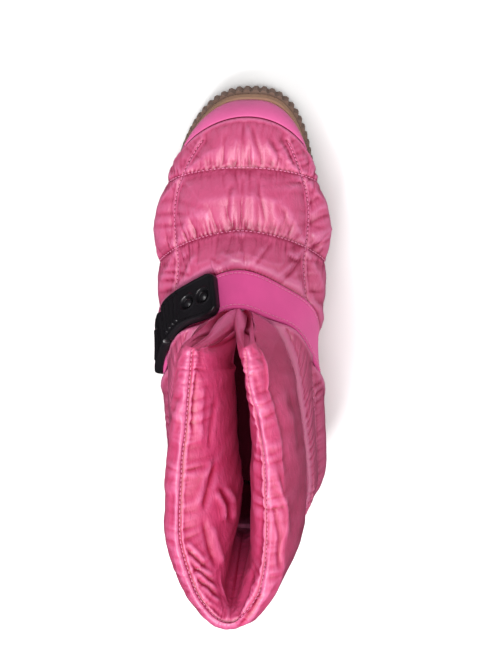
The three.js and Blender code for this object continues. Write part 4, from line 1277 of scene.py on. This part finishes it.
def plate_top(place, across):
    edge = from_edge(place, across, plate_half, PLATE_START, PLATE_END)
    height = LAYER + 0.6 + (PLATE_THICKNESS - 0.6) * fill(edge, 1.6)
    inner = from_edge(place, across, lambda p: PLATE_WIDTH / 2, PLATE_START, PLATE_END)
    height -= 0.5 * smooth((inner - 2.4) / 0.8)
    for rivet in RIVETS:
        radius = np.hypot(place - rivet, across)
        height -= (RIVET_WELL - 0.3) * smooth((RIVET_HOLE + 0.35 - radius) / 0.7)
        height += 0.5 * np.exp(-(((radius - RIVET_HOLE - 0.9) / 0.6) ** 2))
    for i in range(GRIP_RIBS):
        centre = PLATE_END - GRIP_LAST - i * GRIP_PITCH - GRIP_PITCH / 4
        along = np.abs(place - centre) / (GRIP_PITCH * 0.36)
        sides = smooth((PLATE_WIDTH / 2 - GRIP_MARGIN - np.abs(across)) / 1.0)
        height += (GRIP_HEIGHT + 0.5) * np.sqrt(np.maximum(0, 1 - along**2)) * sides
    return height


ring_piece(
    "buckle_plate_body",
    band(np.linspace(PLATE_START, PLATE_END, 200), plate_half, plate_top, LAYER, 121),
    black_plastic, ["buckle_plate"],
)

catch_half = rounded_half(CATCH_START, CATCH_END, CATCH_WIDTH, CATCH_CORNER)


def catch_top(place, across):
    """The catch's top: two wells with ribs between them, and a bar at the far end."""
    edge = from_edge(place, across, catch_half, CATCH_START, CATCH_END)
    height = LAYER + 0.5 + (CATCH_THICKNESS - 0.5) * fill(edge, 1.8)
    inside = smooth((CATCH_WIDTH / 2 - 4 - np.abs(across)) / 0.9)
    for depth, start, end, soft in ((2.2, 8, 16, 0.9), (1.6, 27, 30.5, 0.8)):
        well = smooth((place - CATCH_START - start) / soft) * smooth((CATCH_START + end - place) / soft)
        height -= depth * well * inside
    for i in range(3):
        centre = CATCH_START + 19 + i * 3
        ridge = np.sqrt(np.maximum(0, 1 - (np.abs(place - centre) / 1.1) ** 2))
        height += 0.7 * ridge * smooth((CATCH_WIDTH / 2 - 3 - np.abs(across)) / 0.9)
    bar = np.maximum(0, 1 - (np.abs(place - CATCH_END + 4.2) / 2.6) ** 2)
    height += 0.5 * np.sqrt(bar) * inside
    return height


ring_piece(
    "buckle_catch_body",
    band(np.linspace(CATCH_START, CATCH_END, 170), catch_half, catch_top, LAYER, 101),
    black_plastic, ["buckle_catch"],
)


# The rivet's dome: radius and height of each ring
RIVET_DOME = [
    (3.2, 0), (3.2, 0.7), (3.05, 1.05), (2.7, 1.35), (2.2, 1.9), (1.5, 2.4), (0.8, 2.65), (0.1, 2.7),
]


def make_rivet(place):
    origin, along, across, out = strap_frame(place)
    base = PLATE_TOP - RIVET_WELL + GAP
    sides = 48
    angle = np.linspace(0, 2 * math.pi, sides, endpoint=False)
    rows = []
    for radius, height in RIVET_DOME:
        circle = np.cos(angle)[:, None] * along + np.sin(angle)[:, None] * across
        rows.append(origin + circle * radius + out * (base + height))
    return np.array(rows)


for i, place in enumerate(RIVETS):
    ring_piece(
        "rivet_dome_" + str(i + 1), make_rivet(np.array(place)), black_plastic,
        ["buckle_rivet_" + str(i + 1)],
    )

# Camera, floor and light
CENTRE = np.array([2.1, 141.0, 95.0])
LENS_PIXELS = 2180


def make_camera():
    place = AIM + VIEW_BACK * VIEW_DISTANCE
    data = bpy.data.cameras.new("camera")
    camera = new_object("camera", data)
    back = unit(place - CENTRE)
    right = unit(np.cross(-VIEW_DOWN, back))
    up = np.cross(back, right)
    matrix = np.eye(4)
    matrix[:3, 0], matrix[:3, 1], matrix[:3, 2] = right, up, back
    matrix[:3, 3] = to_frame(place)
    camera.matrix_world = Matrix(matrix.tolist())
    data.sensor_fit = "HORIZONTAL"
    data.sensor_width = 36
    data.lens = LENS_PIXELS / 480 * 36
    data.clip_start = 0.05
    data.clip_end = 20
    bpy.context.scene.camera = camera


make_camera()


def area_light(name, place, aim, size, power):
    data = bpy.data.lights.new(name, "AREA")
    data.shape = "SQUARE"
    data.size = size
    data.energy = power
    light = new_object(name, data)
    light.location = place
    light.rotation_euler = (Vector(aim) - Vector(place)).to_track_quat("-Z", "Y").to_euler()


area_light("key", (0.7, 1.2, 3.0), (0, 0, 0.08), size=0.7, power=68)
area_light("top", (0.2, -0.5, 3.2), (0, 0, 0.08), size=1.8, power=73)
area_light("side", (-1.7, 0.7, 1.6), (0, 0, 0.1), size=1.4, power=16)

floor_mesh = bpy.data.meshes.new("floor")
floor_mesh.from_pydata([(-4, -4, 0), (4, -4, 0), (4, 4, 0), (-4, 4, 0)], [], [(0, 1, 2, 3)])
floor = new_object("floor", floor_mesh)
paper = node_maker("floor_paper")[2](Base_Color=(0.92, 0.92, 0.92, 1), Roughness=0.9)
floor_mesh.materials.append(paper)
floor.visible_glossy = False

world = bpy.data.worlds.new("world")
world.use_nodes = True
background = world.node_tree.nodes["Background"].inputs
background["Color"].default_value = (1, 1, 1, 1)
background["Strength"].default_value = 0.35
bpy.context.scene.world = world
world.cycles_visibility.glossy = False
bpy.context.scene.view_settings.view_transform = "Standard"
